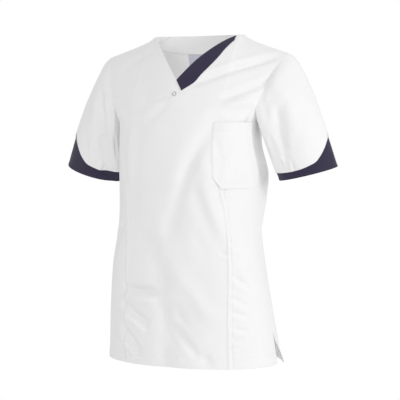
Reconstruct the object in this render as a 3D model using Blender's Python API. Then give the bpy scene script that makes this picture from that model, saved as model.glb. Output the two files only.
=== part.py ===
"""A women's medical tunic in its worn form, hollow, with no wearer.

The origin is between the shoulders, where the wearer carries the garment. +Z is up, the front faces -Y and
the wearer's left is at +X. Every panel is a cloth wall taken from one body surface, which rounds over the
shoulders. The sleeves are lofted from the armholes to the cuffs. Lengths are in metres, angles in degrees.
"""

import bpy
import numpy as np

# Cloth
WALL = 0.0015
TRIM_WALL = 0.0012
SEAM_GAP = 0.0003
TRIM_CLEARANCE = 0.0010
MIRROR = np.array([-1, 1, 1])
POCKET_CLEARANCE = 0.0022
SEAM_RADIUS = 0.12
RIDGE_GAP_SHARE = 0.7
RIDGE_MARGIN = 0.03
SAME_PLACE = 1e-6
SHARP_ANGLE = 50
CLOTH_ROUGHNESS = 0.8
SNAP_ROUGHNESS = 0.3

# Heights, measured from the shoulder beside the neck
HEM_HEIGHT = -0.728
UNDERARM_HEIGHT = -0.190
PRINCESS_TOP_HEIGHT = -0.165
V_HEIGHT = -0.103
BACK_NECK_HEIGHT = 0.003

# Shoulder ridge, which falls in a straight line from the middle to the shoulder tip
RIDGE_MIDDLE_HEIGHT = 0.0465
RIDGE_FALL = 0.410
RIDGE_SAG = 0.0045
SAG_NEARNESS = 0.5
RIDGE_NECK_Y = 0.044
RIDGE_TIP_Y = 0.033
NECK_HALF_WIDTH = 0.110
SHOULDER_HALF_WIDTH = 0.218
MIDDLE_ROUNDING = 0.060
MEAN_ROUNDING = 0.190
FRONT_EXTRA_ROUNDING = 0.010
ROUNDING_POWER = 1.6
NECKLINE_POWER = 1.40

# The trunk's level sections, from hem to shoulder
RING_POWER = 2.2
RING_COLUMNS = ("height", "half_width", "side_y", "front_y", "back_y")
RINGS = (
    (-0.728, 0.2030, 0.019, -0.124, 0.144),
    (-0.620, 0.1905, -0.008, -0.125, 0.130),
    (-0.520, 0.1790, -0.022, -0.122, 0.110),
    (-0.430, 0.1670, -0.014, -0.118, 0.099),
    (-0.360, 0.1705, 0.008, -0.124, 0.112),
    (-0.310, 0.1720, 0.014, -0.130, 0.125),
    (-0.235, 0.1620, -0.015, -0.129, 0.127),
    (-0.190, 0.1650, -0.017, -0.117, 0.126),
    (-0.165, 0.1800, -0.022, -0.108, 0.125),
    (-0.114, 0.2120, -0.008, -0.097, 0.120),
    (-0.050, 0.2360, 0.010, -0.097, 0.116),
    (0.050, 0.2500, 0.015, -0.097, 0.114),
)

# The two princess seams of the front: how far round they are from the centre front
PRINCESS_COLUMNS = ("height", "left_angle", "right_angle")
PRINCESS_SEAMS = (
    (-0.728, 41.0, 33.5),
    (-0.620, 44.0, 36.0),
    (-0.500, 48.0, 40.5),
    (-0.430, 48.5, 44.5),
    (-0.385, 45.5, 44.0),
    (-0.340, 41.5, 44.0),
    (-0.300, 45.0, 48.0),
    (-0.255, 55.0, 56.5),
    (-0.205, 65.5, 66.0),
    (-0.165, 71.0, 71.0),
)

# The armhole edges, upward: how far round they are from the centre front or the centre back
ARMHOLE_COLUMNS = ("share", "height", "angle")
FRONT_ARMHOLE = (
    (0.00, -0.165, 71.0),
    (0.12, -0.150, 67.0),
    (0.29, -0.130, 63.5),
    (0.43, -0.114, 61.5),
    (0.60, -0.092, 60.1),
    (0.80, -0.070, 61.7),
    (1.00, -0.045, 65.6),
)
BACK_ARMHOLE = (
    (0.00, -0.190, 90.0),
    (0.08, -0.187, 82.0),
    (0.17, -0.175, 75.0),
    (0.30, -0.152, 69.5),
    (0.50, -0.118, 65.8),
    (0.70, -0.088, 64.0),
    (0.86, -0.063, 64.3),
    (1.00, -0.045, 65.6),
)
UNDERARM_COLUMNS = ("angle", "height")
UNDERARM_EDGE = (
    (71.0, -0.165),
    (76.0, -0.174),
    (83.0, -0.185),
    (90.0, -0.190),
)

# Side slit: the front's edge is drawn back from the side seam towards the hem
SLIT_HEIGHT = 0.070
SLIT_WIDTH = 0.006
SLIT_CORNER = 0.014
CORNER_FADE = 8

# Largest folds, each a soft trough or ridge along a line seen from its side of the garment
FOLD_COLUMNS = ("start_x", "start_height", "end_x", "end_height", "half_width", "depth")
FRONT_FOLDS = (
    (0.096, -0.200, 0.050, -0.290, 0.016, -0.0045),
    (0.050, -0.290, 0.002, -0.416, 0.018, -0.0050),
    (0.090, -0.310, 0.134, -0.460, 0.018, 0.0040),
    (0.046, -0.104, 0.193, -0.049, 0.011, -0.0030),
    (0.112, -0.131, 0.190, -0.100, 0.011, -0.0030),
    (-0.060, -0.440, -0.018, -0.540, 0.018, -0.0040),
    (-0.018, -0.540, -0.012, -0.690, 0.018, -0.0045),
    (0.028, -0.535, 0.085, -0.600, 0.018, 0.0030),
    (0.030, -0.620, 0.082, -0.705, 0.013, -0.0045),
    (-0.110, -0.568, -0.034, -0.566, 0.013, -0.0035),
    (-0.075, -0.230, -0.090, -0.370, 0.016, -0.0025),
)
BACK_FOLDS = (
    (-0.100, -0.200, -0.055, -0.400, 0.020, -0.0040),
    (0.105, -0.210, 0.060, -0.390, 0.020, -0.0045),
    (0.020, -0.420, 0.055, -0.690, 0.022, -0.0040),
    (-0.060, -0.430, -0.100, -0.680, 0.020, -0.0045),
    (-0.150, -0.420, -0.070, -0.400, 0.014, -0.0030),
    (0.150, -0.430, 0.080, -0.405, 0.014, -0.0030),
)

# Cuffs, both written for the left side; the right sleeve is then mirrored, and hangs closer to the body
CUFFS = {
    "left": {
        "outer_end": (0.334, 0.030, -0.290),
        "inner_end": (0.205, 0.010, -0.321),
        "front_half_axis": (0.004, -0.043, -0.006),
        "peak_shift": 0.000,
        "edge_lift": 0.000,
    },
    "right": {
        "outer_end": (0.333, 0.030, -0.290),
        "inner_end": (0.181, 0.010, -0.328),
        "front_half_axis": (0.004, -0.034, -0.010),
        "peak_shift": 0.030,
        "edge_lift": 0.005,
    },
}
CAP_BULGE = 0.024
CAP_CENTRE = 0.12
CAP_POWER = 4.0
CAP_QUICKNESS = 0.56
SLEEVE_FOLD_DEPTH = 0.004
SLEEVE_FOLD_PLACE = 0.30
SLEEVE_FOLD_WIDTH = 0.04

# The white sleeve's lower edge: how far above the cuff it is, going round from the outer side
SLEEVE_EDGE_COLUMNS = ("around", "above")
SLEEVE_EDGE = (
    (0.000, 0.078),
    (0.030, 0.051),
    (0.046, 0.035),
    (0.058, 0.025),
    (0.070, 0.021),
    (0.180, 0.021),
)
BAND_UNDERLAP = 0.012

# Neck band: where its outer edge is for points along the V's edge
NECK_BAND_COLUMNS = ("inner_x", "outer_x", "outer_height")
NECK_BAND = (
    (0.000, 0.0162, -0.1260),
    (0.022, 0.0376, -0.1090),
    (0.042, 0.0540, -0.0900),
    (0.058, 0.0685, -0.0710),
    (0.073, 0.0808, -0.0525),
    (0.087, 0.0912, -0.0310),
    (0.099, 0.1010, -0.0140),
)

# Back neck facing and label, inside the back
FACING_DEPTH = 0.040
FACING_TOP_HALF_WIDTH = 0.080
FACING_LOW_HALF_WIDTH = 0.132
FACING_END_HEIGHT = -0.022
FACING_CURVE = 3.0
LABEL_LEFT_X = 0.012
LABEL_RIGHT_X = -0.050
LABEL_HEIGHT = 0.030
LABEL_GAP = 0.0008
LABEL_WALL = 0.0010

# Chest pocket, on the wearer's left
POCKET_INNER_X = 0.097
POCKET_LOW_ANGLE = 79.0
POCKET_TOP_ANGLE = 81.0
POCKET_TOP_HEIGHT = -0.194
POCKET_BOTTOM_HEIGHT = -0.338
POCKET_CORNER_SHARE = 0.14
POCKET_CORNER_HEIGHT = 0.025

# Press stud cap, on the centre front
SNAP_X = 0.001
SNAP_HEIGHT = -0.133
SNAP_RADIUS = 0.0050
SNAP_THICKNESS = 0.0018
SNAP_SIDES = 24
SNAP_COLUMNS = ("radius_share", "height_share")
SNAP_PROFILE = (
    (0.92, 0.00),
    (1.00, 0.25),
    (0.98, 0.75),
    (0.84, 1.00),
    (0.68, 0.80),
    (0.60, 0.55),
    (0.30, 0.70),
)

# Grid sizes
LOWER_ROWS = 22
UPPER_ROWS = 10
FRONT_COLUMNS = 10
SIDE_COLUMNS = 7
BACK_COLUMNS = 10
SLEEVE_ROWS = 12
BAND_ROWS = 4
TRIM_COLUMNS = 20
TRIM_ROWS = 3
LABEL_COLUMNS = 5
LABEL_ROWS = 4
POCKET_COLUMNS = 11
POCKET_ROWS = 7
RIDGE_CROWDING = 1.5

WHITE = (0.90, 0.91, 0.93, 1.0)
NAVY = (0.042, 0.034, 0.075, 1.0)
LABEL_GREY = (0.62, 0.62, 0.70, 1.0)
PEARL = (0.75, 0.75, 0.77, 1.0)


def column(rows, names, name):
    """One named column of a table, as an array."""
    return np.array([row[names.index(name)] for row in rows], float)


def smooth(at, places, values):
    """A cubic curve through the rows of a table, read at any places."""
    slopes = np.gradient(values, places)
    at = np.clip(at, places[0], places[-1])
    row = np.clip(np.searchsorted(places, at) - 1, 0, len(places) - 2)
    step = places[row + 1] - places[row]
    share = (at - places[row]) / step
    rest = 1 - share
    return (
        values[row] * (1 + 2 * share) * rest**2
        + values[row + 1] * (1 + 2 * rest) * share**2
        + slopes[row] * step * share * rest**2
        - slopes[row + 1] * step * rest * share**2
    )


def read(rows, names, key, name, at):
    """A table's named column, read at places along its key column."""
    return smooth(at, column(rows, names, key), column(rows, names, name))


def ring_value(name, height):
    return read(RINGS, RING_COLUMNS, "height", name, height)


def blend(start, end, share):
    return start + (end - start) * share


def from_middle(x):
    """Distance from the middle, rounded off close to it so that the neck has no corner."""
    rounded = (x**2 + MIDDLE_ROUNDING**2) / (2 * MIDDLE_ROUNDING)
    return np.where(np.abs(x) < MIDDLE_ROUNDING, rounded, np.abs(x))


def ridge_height(x):
    out = np.clip((np.abs(x) - NECK_HALF_WIDTH) / (SHOULDER_HALF_WIDTH - NECK_HALF_WIDTH), 0, 1)
    return RIDGE_MIDDLE_HEIGHT - RIDGE_FALL * from_middle(x) - RIDGE_SAG * np.sin(np.pi * out**SAG_NEARNESS)


def ridge_y(x):
    along = (from_middle(x) - NECK_HALF_WIDTH) / (SHOULDER_HALF_WIDTH - NECK_HALF_WIDTH)
    return blend(RIDGE_NECK_Y, RIDGE_TIP_Y, along)


def front_neckline(x):
    """Height of the V's edge at a distance from the middle."""
    rest = np.clip(1 - np.abs(x) / NECK_HALF_WIDTH, 0, 1)
    edge = ridge_height(NECK_HALF_WIDTH)
    return edge - (edge - V_HEIGHT) * rest**NECKLINE_POWER


def back_neckline(x):
    return blend(BACK_NECK_HEIGHT, ridge_height(NECK_HALF_WIDTH), (x / NECK_HALF_WIDTH) ** 2)


def angle_at(x, height):
    """The angle round the body, in radians from the middle, of a point at x and a height."""
    share = np.clip(np.abs(x) / ring_value("half_width", height), 0, 1)
    return np.sign(x) * np.arcsin(share ** (RING_POWER / 2))


def bare_body(angle, height):
    """A point of the body surface without folds.

    The angle runs from 0 at the centre front, past a quarter turn at the wearer's left side seam, to a half
    turn at the centre back. The level section is a squared ellipse with its own front and back depth, and
    it is drawn in to the shoulder ridge over the rounding height.
    """
    sine, cosine = np.sin(angle), np.cos(angle)
    bow = 2 / RING_POWER
    x = ring_value("half_width", height) * np.sign(sine) * np.abs(sine) ** bow
    front = cosine >= 0
    side_y = ring_value("side_y", height)
    far_y = np.where(front, ring_value("front_y", height), ring_value("back_y", height))
    plain_y = blend(side_y, far_y, np.abs(cosine) ** bow)
    rounding = MEAN_ROUNDING + FRONT_EXTRA_ROUNDING * cosine
    drop = np.clip((ridge_height(x) - height) / rounding, 0, 1)
    out = (1 - (1 - drop) ** ROUNDING_POWER) ** (1 / ROUNDING_POWER)
    y = blend(ridge_y(x), plain_y, out)
    return np.stack(np.broadcast_arrays(x, y, height), axis=-1)


def normals_of(surface, angle, height):
    """Unit normals of a surface of angle and height, from the differences across a small step."""
    turn, rise = 0.0025, 0.0005
    across = surface(angle + turn, height) - surface(angle - turn, height)
    upward = surface(angle, height + rise) - surface(angle, height - rise)
    normal = np.cross(across, upward)
    return normal / np.linalg.norm(normal, axis=-1, keepdims=True)


def fold_depth(rows, x, height):
    """Sum of the folds at points seen from the front or the back.

    Each fold is a bell-shaped section carried along a line from its start to its end, fading at both ends.
    """
    total = np.zeros(np.broadcast(x, height).shape)
    for row in rows:
        fold = dict(zip(FOLD_COLUMNS, row))
        run_x, run_height = fold["end_x"] - fold["start_x"], fold["end_height"] - fold["start_height"]
        length = np.hypot(run_x, run_height)
        from_x, from_height = x - fold["start_x"], height - fold["start_height"]
        along = (from_x * run_x + from_height * run_height) / length
        aside = (from_x * run_height - from_height * run_x) / length / fold["half_width"]
        beyond = np.maximum(0, np.maximum(-along, along - length)) / (2 * fold["half_width"])
        total += fold["depth"] * np.exp(-(aside**2) - beyond**2)
    return total


def body_surface(angle, height):
    """The body surface with its folds."""
    bare = bare_body(angle, height)
    x = bare[..., 0]
    front = np.cos(angle) >= 0
    depth = np.where(front, fold_depth(FRONT_FOLDS, x, height), fold_depth(BACK_FOLDS, x, height))
    fade = np.sqrt(np.abs(np.cos(angle)))
    near_ridge = np.clip((ridge_height(x) - height) / RIDGE_MARGIN, 0, 1)
    return bare + normals_of(bare_body, angle, height) * (depth * fade * near_ridge)[..., None]


def wall(name, outer, inner, material, closed=False):
    """A closed cloth wall between two grids of points, rows by columns.

    Columns run so that the outer grid faces outwards. A closed wall joins its last column to its first.
    """
    rows, columns = outer.shape[:2]
    index = np.arange(rows * columns).reshape(rows, columns)
    if closed:
        index = np.concatenate([index, index[:, :1]], axis=1)
    below_left, below_right = index[:-1, :-1].ravel(), index[:-1, 1:].ravel()
    above_left, above_right = index[1:, :-1].ravel(), index[1:, 1:].ravel()
    skin = np.stack([below_left, below_right, above_right, above_left], axis=1)
    under = rows * columns
    faces = [skin, skin[:, ::-1] + under]
    edges = [index[0, ::-1], index[-1]]
    if not closed:
        edges += [index[:, 0], index[::-1, -1]]
    for edge in edges:
        start, end = edge[:-1], edge[1:]
        faces.append(np.stack([start, end, end + under, start + under], axis=1))
    points = np.concatenate([outer.reshape(-1, 3), inner.reshape(-1, 3)])
    add_mesh(name, points, np.concatenate(faces).tolist(), material)


def add_mesh(name, points, faces, material):
    """A new object from its points and faces, shaded smooth apart from its edges."""
    mesh = bpy.data.meshes.new(name)
    mesh.from_pydata(points.tolist(), [], faces)
    mesh.shade_smooth()
    mesh.set_sharp_from_angle(angle=np.radians(SHARP_ANGLE))
    mesh.materials.append(material)
    bpy.context.scene.collection.objects.link(bpy.data.objects.new(name, mesh))


def plain_material(name, colour, roughness):
    """A plain material for one sub-part."""
    material = bpy.data.materials.new(name)
    material.use_nodes = True
    shader = material.node_tree.nodes["Principled BSDF"]
    shader.inputs["Base Color"].default_value = colour
    shader.inputs["Roughness"].default_value = roughness
    shader.inputs["Metallic"].default_value = 0.0
    material.diffuse_color = colour
    return material


def body_wall(name, angle, height, colour, lift=0.0, thickness=WALL, ridge_side=0):
    """A wall on the body surface; lift is how far its inner side stands off the surface.

    ridge_side is -1 for the front and 1 for the back: points that lie on the shoulder ridge then keep their
    share of the seam gap from it, and the wall stands upright on it.
    """
    points = body_surface(angle, height)
    normals = normals_of(body_surface, angle, height)
    if ridge_side:
        x = points[..., 0]
        on_ridge = np.abs(ridge_height(x) - height) < SAME_PLACE
        up = np.stack([np.sign(x) * RIDGE_FALL, np.zeros_like(x), np.ones_like(x)], axis=-1)
        up /= np.linalg.norm(up, axis=-1, keepdims=True)
        normals = np.where(on_ridge[..., None], up, normals)
        points[..., 1] += np.where(on_ridge, ridge_side * SEAM_GAP * RIDGE_GAP_SHARE, 0)
    outer = points + normals * (lift + thickness if lift > 0 else lift)
    inner = outer - normals * thickness
    return wall(name, outer, inner, plain_material(name, colour, CLOTH_ROUGHNESS))


def upper_rows():
    """Shares of the way from the panel's waist-side part to its top, closer together near the shoulder."""
    return 1 - (1 - np.linspace(0, 1, UPPER_ROWS + 1)) ** RIDGE_CROWDING


def lower_heights(top):
    return np.linspace(HEM_HEIGHT, top, LOWER_ROWS + 1)


def top_edge(share, neckline):
    """Angle and height of a panel's top, from the middle (0) to the shoulder tip (1): neckline, then ridge.

    The neck takes the first half of the columns and the shoulder the other half.
    """
    neck_x = NECK_HALF_WIDTH * np.clip(share * 2, 0, 1)
    shoulder_x = blend(NECK_HALF_WIDTH, SHOULDER_HALF_WIDTH, np.clip(share * 2 - 1, 0, 1))
    on_neck = share <= 0.5
    x = np.where(on_neck, neck_x, shoulder_x)
    height = np.where(on_neck, neckline(neck_x), ridge_height(shoulder_x))
    return angle_at(x, height), height


def upper_part(share, armhole, bottom_angle, bottom_height, neckline):
    """Angles and heights of a panel above its bottom row, for shares from 0 at the middle to 1 at the side.

    Columns run straight from the bottom row to the top edge, and bend towards the armhole's curve near the
    side.
    """
    rows = upper_rows()[:, None]
    top_angle, top_height = top_edge(share, neckline)
    side_angle = np.radians(read(armhole, ARMHOLE_COLUMNS, "share", "angle", rows))
    side_height = read(armhole, ARMHOLE_COLUMNS, "share", "height", rows)
    bend_angle = side_angle - blend(side_angle[0], side_angle[-1], rows)
    bend_height = side_height - blend(side_height[0], side_height[-1], rows)
    pull = share[None, :] ** 2
    angle = blend(bottom_angle, top_angle[None, :], rows) + pull * bend_angle
    height = blend(bottom_height, top_height[None, :], rows) + pull * bend_height
    return angle, height


def mirrored_grid(half_angle, half_height):
    """Joins a half grid, whose first column is the middle, with its mirror image."""
    angle = np.concatenate([-half_angle[:, :0:-1], half_angle], axis=1)
    height = np.concatenate([half_height[:, :0:-1], half_height], axis=1)
    return angle, height


def front_grid():
    """Angles and heights of the centre front: level rows up to the armhole, then the upper part."""
    share = np.linspace(0, 1, FRONT_COLUMNS + 1)
    edge = SEAM_GAP / 2 / SEAM_RADIUS
    level = lower_heights(PRINCESS_TOP_HEIGHT)[:-1, None]
    halves = []
    for name in ("right_angle", "left_angle"):
        seam = np.radians(read(PRINCESS_SEAMS, PRINCESS_COLUMNS, "height", name, level)) - edge
        top = np.radians(PRINCESS_SEAMS[-1][PRINCESS_COLUMNS.index(name)])
        upper = upper_part(share, FRONT_ARMHOLE, share[None, :] * top, PRINCESS_TOP_HEIGHT, front_neckline)
        angle = np.concatenate([share[None, :] * seam, upper[0]])
        height = np.concatenate([level + 0 * share[None, :], upper[1]])
        halves.append((angle, height))
    (right_angle, right_height), (left_angle, left_height) = halves
    angle = np.concatenate([-right_angle[:, :0:-1], left_angle], axis=1)
    height = np.concatenate([right_height[:, :0:-1], left_height], axis=1)
    return angle, height


def side_grid(side):
    """Angles and heights of a side front, for the wearer's left (1) or right (-1)."""
    name = "left_angle" if side > 0 else "right_angle"
    across = np.linspace(0, 1, SIDE_COLUMNS + 1)[None, :]
    up = np.linspace(0, 1, LOWER_ROWS + 1)[:, None]
    edge = SEAM_GAP / 2 / SEAM_RADIUS
    level = blend(HEM_HEIGHT, PRINCESS_TOP_HEIGHT, up)
    seam = np.radians(read(PRINCESS_SEAMS, PRINCESS_COLUMNS, "height", name, level)) + edge
    slit = np.clip(1 - (level - HEM_HEIGHT) / SLIT_HEIGHT, 0, 1) * SLIT_WIDTH / SEAM_RADIUS
    angle = blend(seam, np.radians(90) - edge - slit, across)
    top = read(UNDERARM_EDGE, UNDERARM_COLUMNS, "angle", "height", np.degrees(angle[-1]))[None, :]
    from_slit = np.clip((np.radians(90) - angle) * SEAM_RADIUS / SLIT_CORNER, 0, 1)
    corner = SLIT_CORNER * (1 - np.sqrt(1 - (1 - from_slit) ** 2))
    height = blend(HEM_HEIGHT, top, up) + corner * (1 - up) ** CORNER_FADE
    if side < 0:
        return -angle[:, ::-1], height[:, ::-1]
    return angle, height


def back_grid():
    share = np.linspace(0, 1, BACK_COLUMNS + 1)
    edge = SEAM_GAP / 2 / SEAM_RADIUS
    level = lower_heights(UNDERARM_HEIGHT)[:-1, None]
    side = np.radians(90) - edge
    upper = upper_part(share, BACK_ARMHOLE, share[None, :] * side, UNDERARM_HEIGHT, back_neckline)
    angle = np.concatenate([share[None, :] * side + 0 * level, upper[0]])
    height = np.concatenate([level + 0 * share[None, :], upper[1]])
    angle, height = mirrored_grid(angle, height)
    return angle + np.pi, height


def armhole_ring():
    """Points of the wearer's left armhole, from the shoulder tip down the front and up the back."""
    front_angle, front_height = front_grid()
    side_angle, side_height = side_grid(1)
    back_angle, back_height = back_grid()
    angle = np.concatenate(
        [front_angle[: LOWER_ROWS - 1 : -1, -1], side_angle[-1, 1:], back_angle[LOWER_ROWS + 1 : -1, 0]]
    )
    height = np.concatenate(
        [front_height[: LOWER_ROWS - 1 : -1, -1], side_height[-1, 1:], back_height[LOWER_ROWS + 1 : -1, 0]]
    )
    lowest = UPPER_ROWS + SIDE_COLUMNS
    return body_surface(angle, height), lowest


def ring_shares(points, lowest):
    """How far round the sleeve each armhole point is: 0 at the shoulder tip, one half at the underarm."""
    steps = np.linalg.norm(np.diff(points, axis=0, append=points[:1]), axis=1)
    run = np.concatenate([[0], np.cumsum(steps)])
    down = run[: lowest + 1] / run[lowest] / 2
    up = 0.5 + (run[lowest + 1 : -1] - run[lowest]) / (run[-1] - run[lowest]) / 2
    return np.concatenate([down, up])


def cuff_ring(shares, side):
    """The cuff's edge: an ellipse from its outer end, round the front, to its inner end and the back."""
    cuff = CUFFS[side]
    outer, inner = np.array(cuff["outer_end"]), np.array(cuff["inner_end"])
    front = np.array(cuff["front_half_axis"])
    turn = 2 * np.pi * shares[:, None]
    return (outer + inner) / 2 + (outer - inner) / 2 * np.cos(turn) + front * np.sin(turn)


def sleeve_surface(down, side):
    """Points of the sleeve for shares of the way down, an array of rows by the ring's columns.

    Each column runs from the armhole to the cuff, bowed outwards over the shoulder cap, and the front has
    one soft fold.
    """
    root, lowest = armhole_ring()
    shares = ring_shares(root, lowest)
    cuff = cuff_ring(shares, side)
    down = np.broadcast_to(down, (len(down), len(shares)))[..., None]
    plain = blend(root, cuff, down)
    middle = plain.mean(axis=1, keepdims=True)
    outward = plain - middle
    outward /= np.linalg.norm(outward, axis=-1, keepdims=True)
    around = shares[None, :, None]
    cap = CAP_BULGE * np.abs(np.cos(np.pi * (around - CAP_CENTRE))) ** CAP_POWER
    bow = np.sin(np.pi * np.clip(down, 0, 1) ** CAP_QUICKNESS)
    bell = np.exp(-(((around - SLEEVE_FOLD_PLACE) / SLEEVE_FOLD_WIDTH) ** 2))
    fold = SLEEVE_FOLD_DEPTH * bell * np.sin(np.pi * np.clip(down, 0, 1))
    return plain + outward * (cap * bow - fold)


def sleeve_normals(down, side):
    step = 0.01
    above = sleeve_surface(np.clip(down - step, 0, 1), side)
    along = sleeve_surface(np.clip(down + step, 0, 1), side) - above
    points = sleeve_surface(down, side)
    around = np.roll(points, -1, axis=1) - np.roll(points, 1, axis=1)
    normal = np.cross(around, along)
    return normal / np.linalg.norm(normal, axis=-1, keepdims=True)


def sleeve_edge(side):
    """For each column of the ring, its length and how far the white sleeve ends above the cuff."""
    root, lowest = armhole_ring()
    shares = ring_shares(root, lowest)
    cuff = cuff_ring(shares, side)
    girth = np.linalg.norm(np.diff(cuff, axis=0, append=cuff[:1]), axis=1).sum()
    from_peak = shares - CUFFS[side]["peak_shift"] / girth
    around = np.abs((from_peak + 0.5) % 1 - 0.5) * girth
    above = read(SLEEVE_EDGE, SLEEVE_EDGE_COLUMNS, "around", "above", around) + CUFFS[side]["edge_lift"]
    return np.linalg.norm(cuff - root, axis=1), above


def sleeve_wall(name, side, down, lift, thickness, colour, root_gap):
    """A wall on the sleeve's surface between shares of the way down, moved in by lift."""
    points, normals = sleeve_surface(down, side), sleeve_normals(down, side)
    if root_gap:
        run = points[1] - points[0]
        run /= np.linalg.norm(run, axis=-1, keepdims=True)
        gap = SEAM_GAP + thickness * np.maximum(0, normals[0, :, :1])
        points[0] += run * gap
    outer = points - normals * lift
    inner = points - normals * (lift + thickness)
    if side == "right":
        outer, inner = outer * MIRROR, inner * MIRROR
    else:
        outer, inner = outer[:, ::-1], inner[:, ::-1]
    return wall(name, outer[::-1], inner[::-1], plain_material(name, colour, CLOTH_ROUGHNESS), closed=True)


def make_body():
    body_wall("front_centre", *front_grid(), WHITE, ridge_side=-1)
    body_wall("side_front_left", *side_grid(1), WHITE)
    body_wall("side_front_right", *side_grid(-1), WHITE)
    body_wall("back", *back_grid(), WHITE, ridge_side=1)


def make_sleeves():
    rows = np.linspace(0, 1, SLEEVE_ROWS + 1)[:, None]
    band_rows = np.linspace(0, 1, BAND_ROWS + 1)[:, None]
    for side in CUFFS:
        length, above = sleeve_edge(side)
        down = rows * (1 - above / length)[None, :]
        band_top = 1 - (above + BAND_UNDERLAP) / length
        band = blend(band_top[None, :], 1, band_rows)
        sleeve_wall("sleeve_" + side, side, down, 0, WALL, WHITE, True)
        sleeve_wall("sleeve_band_" + side, side, band, WALL + TRIM_CLEARANCE, TRIM_WALL, NAVY, False)


def make_neck():
    """The neck band on the front's surface, and the facing and label on the back's inner side."""
    along = np.linspace(0, 1, TRIM_COLUMNS + 1)[None, :]
    across = np.linspace(0, 1, TRIM_ROWS + 1)[:, None]
    inner_x = NECK_BAND[-1][0] * along
    outer_x = read(NECK_BAND, NECK_BAND_COLUMNS, "inner_x", "outer_x", inner_x)
    outer_height = read(NECK_BAND, NECK_BAND_COLUMNS, "inner_x", "outer_height", inner_x)
    x = blend(outer_x, inner_x, across)
    height = blend(outer_height, front_neckline(inner_x), across)
    body_wall("neck_band", angle_at(x, height), height, NAVY, lift=TRIM_CLEARANCE, thickness=TRIM_WALL)

    share = np.linspace(-1, 1, TRIM_COLUMNS + 1)[None, :]
    fall = np.linspace(1, 0, TRIM_ROWS + 1)[:, None]
    low = blend(BACK_NECK_HEIGHT - FACING_DEPTH, FACING_END_HEIGHT, np.abs(share) ** FACING_CURVE)
    x = blend(FACING_TOP_HALF_WIDTH, FACING_LOW_HALF_WIDTH, fall) * share
    height = blend(back_neckline(FACING_TOP_HALF_WIDTH * share), low, fall)
    angle = np.pi - angle_at(x, height)[:, ::-1]
    body_wall("back_neck_facing", angle, height[:, ::-1], WHITE, -WALL - TRIM_CLEARANCE, TRIM_WALL)

    top = BACK_NECK_HEIGHT - FACING_DEPTH - LABEL_GAP
    x = np.linspace(LABEL_LEFT_X, LABEL_RIGHT_X, LABEL_COLUMNS + 1)[None, :]
    height = np.linspace(top - LABEL_HEIGHT, top, LABEL_ROWS + 1)[:, None]
    x, height = np.broadcast_arrays(x, height)
    body_wall("label", np.pi - angle_at(x, height), height, LABEL_GREY, -WALL - TRIM_CLEARANCE, LABEL_WALL)


def make_pocket():
    """A patch with cut-off lower corners."""
    share = np.linspace(0, 1, POCKET_COLUMNS + 1)[None, :]
    share[0, 1], share[0, -2] = POCKET_CORNER_SHARE, 1 - POCKET_CORNER_SHARE
    cut = POCKET_CORNER_HEIGHT * np.clip(1 - np.minimum(share, 1 - share) / POCKET_CORNER_SHARE, 0, 1)
    up = np.linspace(0, 1, POCKET_ROWS + 1)[:, None]
    height = blend(POCKET_BOTTOM_HEIGHT + cut, POCKET_TOP_HEIGHT, up)
    outer = np.radians(blend(POCKET_LOW_ANGLE, POCKET_TOP_ANGLE, up))
    angle = blend(angle_at(POCKET_INNER_X, height), outer, share)
    body_wall("chest_pocket", angle, height, WHITE, lift=POCKET_CLEARANCE, thickness=TRIM_WALL)


def make_snap():
    """The stud's cap: a disc with a raised round rim, turned about the cloth's normal."""
    height = np.array([SNAP_HEIGHT])
    angle = angle_at(np.array([SNAP_X]), height)
    seat = body_surface(angle, height)[0]
    normal = normals_of(body_surface, angle, height)[0]
    side = np.cross([0.0, 0.0, 1.0], normal)
    side /= np.linalg.norm(side)
    up = np.cross(normal, side)
    turn = np.arange(SNAP_SIDES) * 2 * np.pi / SNAP_SIDES
    out = np.cos(turn)[:, None] * side + np.sin(turn)[:, None] * up
    radius = column(SNAP_PROFILE, SNAP_COLUMNS, "radius_share")[:, None, None] * SNAP_RADIUS
    rise = column(SNAP_PROFILE, SNAP_COLUMNS, "height_share")[:, None, None] * SNAP_THICKNESS
    rings = seat + out * radius + normal * (rise + 2 * SEAM_GAP)
    index = np.arange(len(SNAP_PROFILE) * SNAP_SIDES).reshape(-1, SNAP_SIDES)
    after = np.roll(index, -1, axis=1)
    skin = np.stack([index[:-1], after[:-1], after[1:], index[1:]], axis=-1).reshape(-1, 4)
    faces = skin.tolist() + [index[0, ::-1].tolist(), index[-1].tolist()]
    add_mesh("snap_cap", rings.reshape(-1, 3), faces, plain_material("snap_cap", PEARL, SNAP_ROUGHNESS))


for old in list(bpy.data.objects):
    bpy.data.objects.remove(old)
make_body()
make_sleeves()
make_neck()
make_pocket()
make_snap()
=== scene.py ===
"""How the medical tunic looks: thin cloth shells with creases, seams, stitches and woven finishes.

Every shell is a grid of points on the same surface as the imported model, with finer form on it. Lengths are
in metres and angles in degrees unless a name says otherwise. +Z is up, the front faces -Y and the wearer's
left is at +X.
"""

import bpy
import numpy as np
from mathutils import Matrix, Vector


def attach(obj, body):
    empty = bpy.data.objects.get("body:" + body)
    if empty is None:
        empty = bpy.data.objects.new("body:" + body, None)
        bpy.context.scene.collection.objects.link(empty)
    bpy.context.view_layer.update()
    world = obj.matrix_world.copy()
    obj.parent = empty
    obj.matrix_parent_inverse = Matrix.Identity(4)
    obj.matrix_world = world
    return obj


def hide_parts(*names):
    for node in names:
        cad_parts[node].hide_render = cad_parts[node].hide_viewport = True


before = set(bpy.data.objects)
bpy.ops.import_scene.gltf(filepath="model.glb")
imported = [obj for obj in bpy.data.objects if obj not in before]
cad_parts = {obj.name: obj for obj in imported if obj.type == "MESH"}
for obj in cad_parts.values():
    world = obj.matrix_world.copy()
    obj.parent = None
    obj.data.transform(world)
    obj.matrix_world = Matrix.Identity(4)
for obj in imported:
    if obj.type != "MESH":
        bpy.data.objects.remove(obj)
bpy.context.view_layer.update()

# Camera and light
CAMERA_AZIMUTH = 24.0
CAMERA_ELEVATION = 3.2
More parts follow.
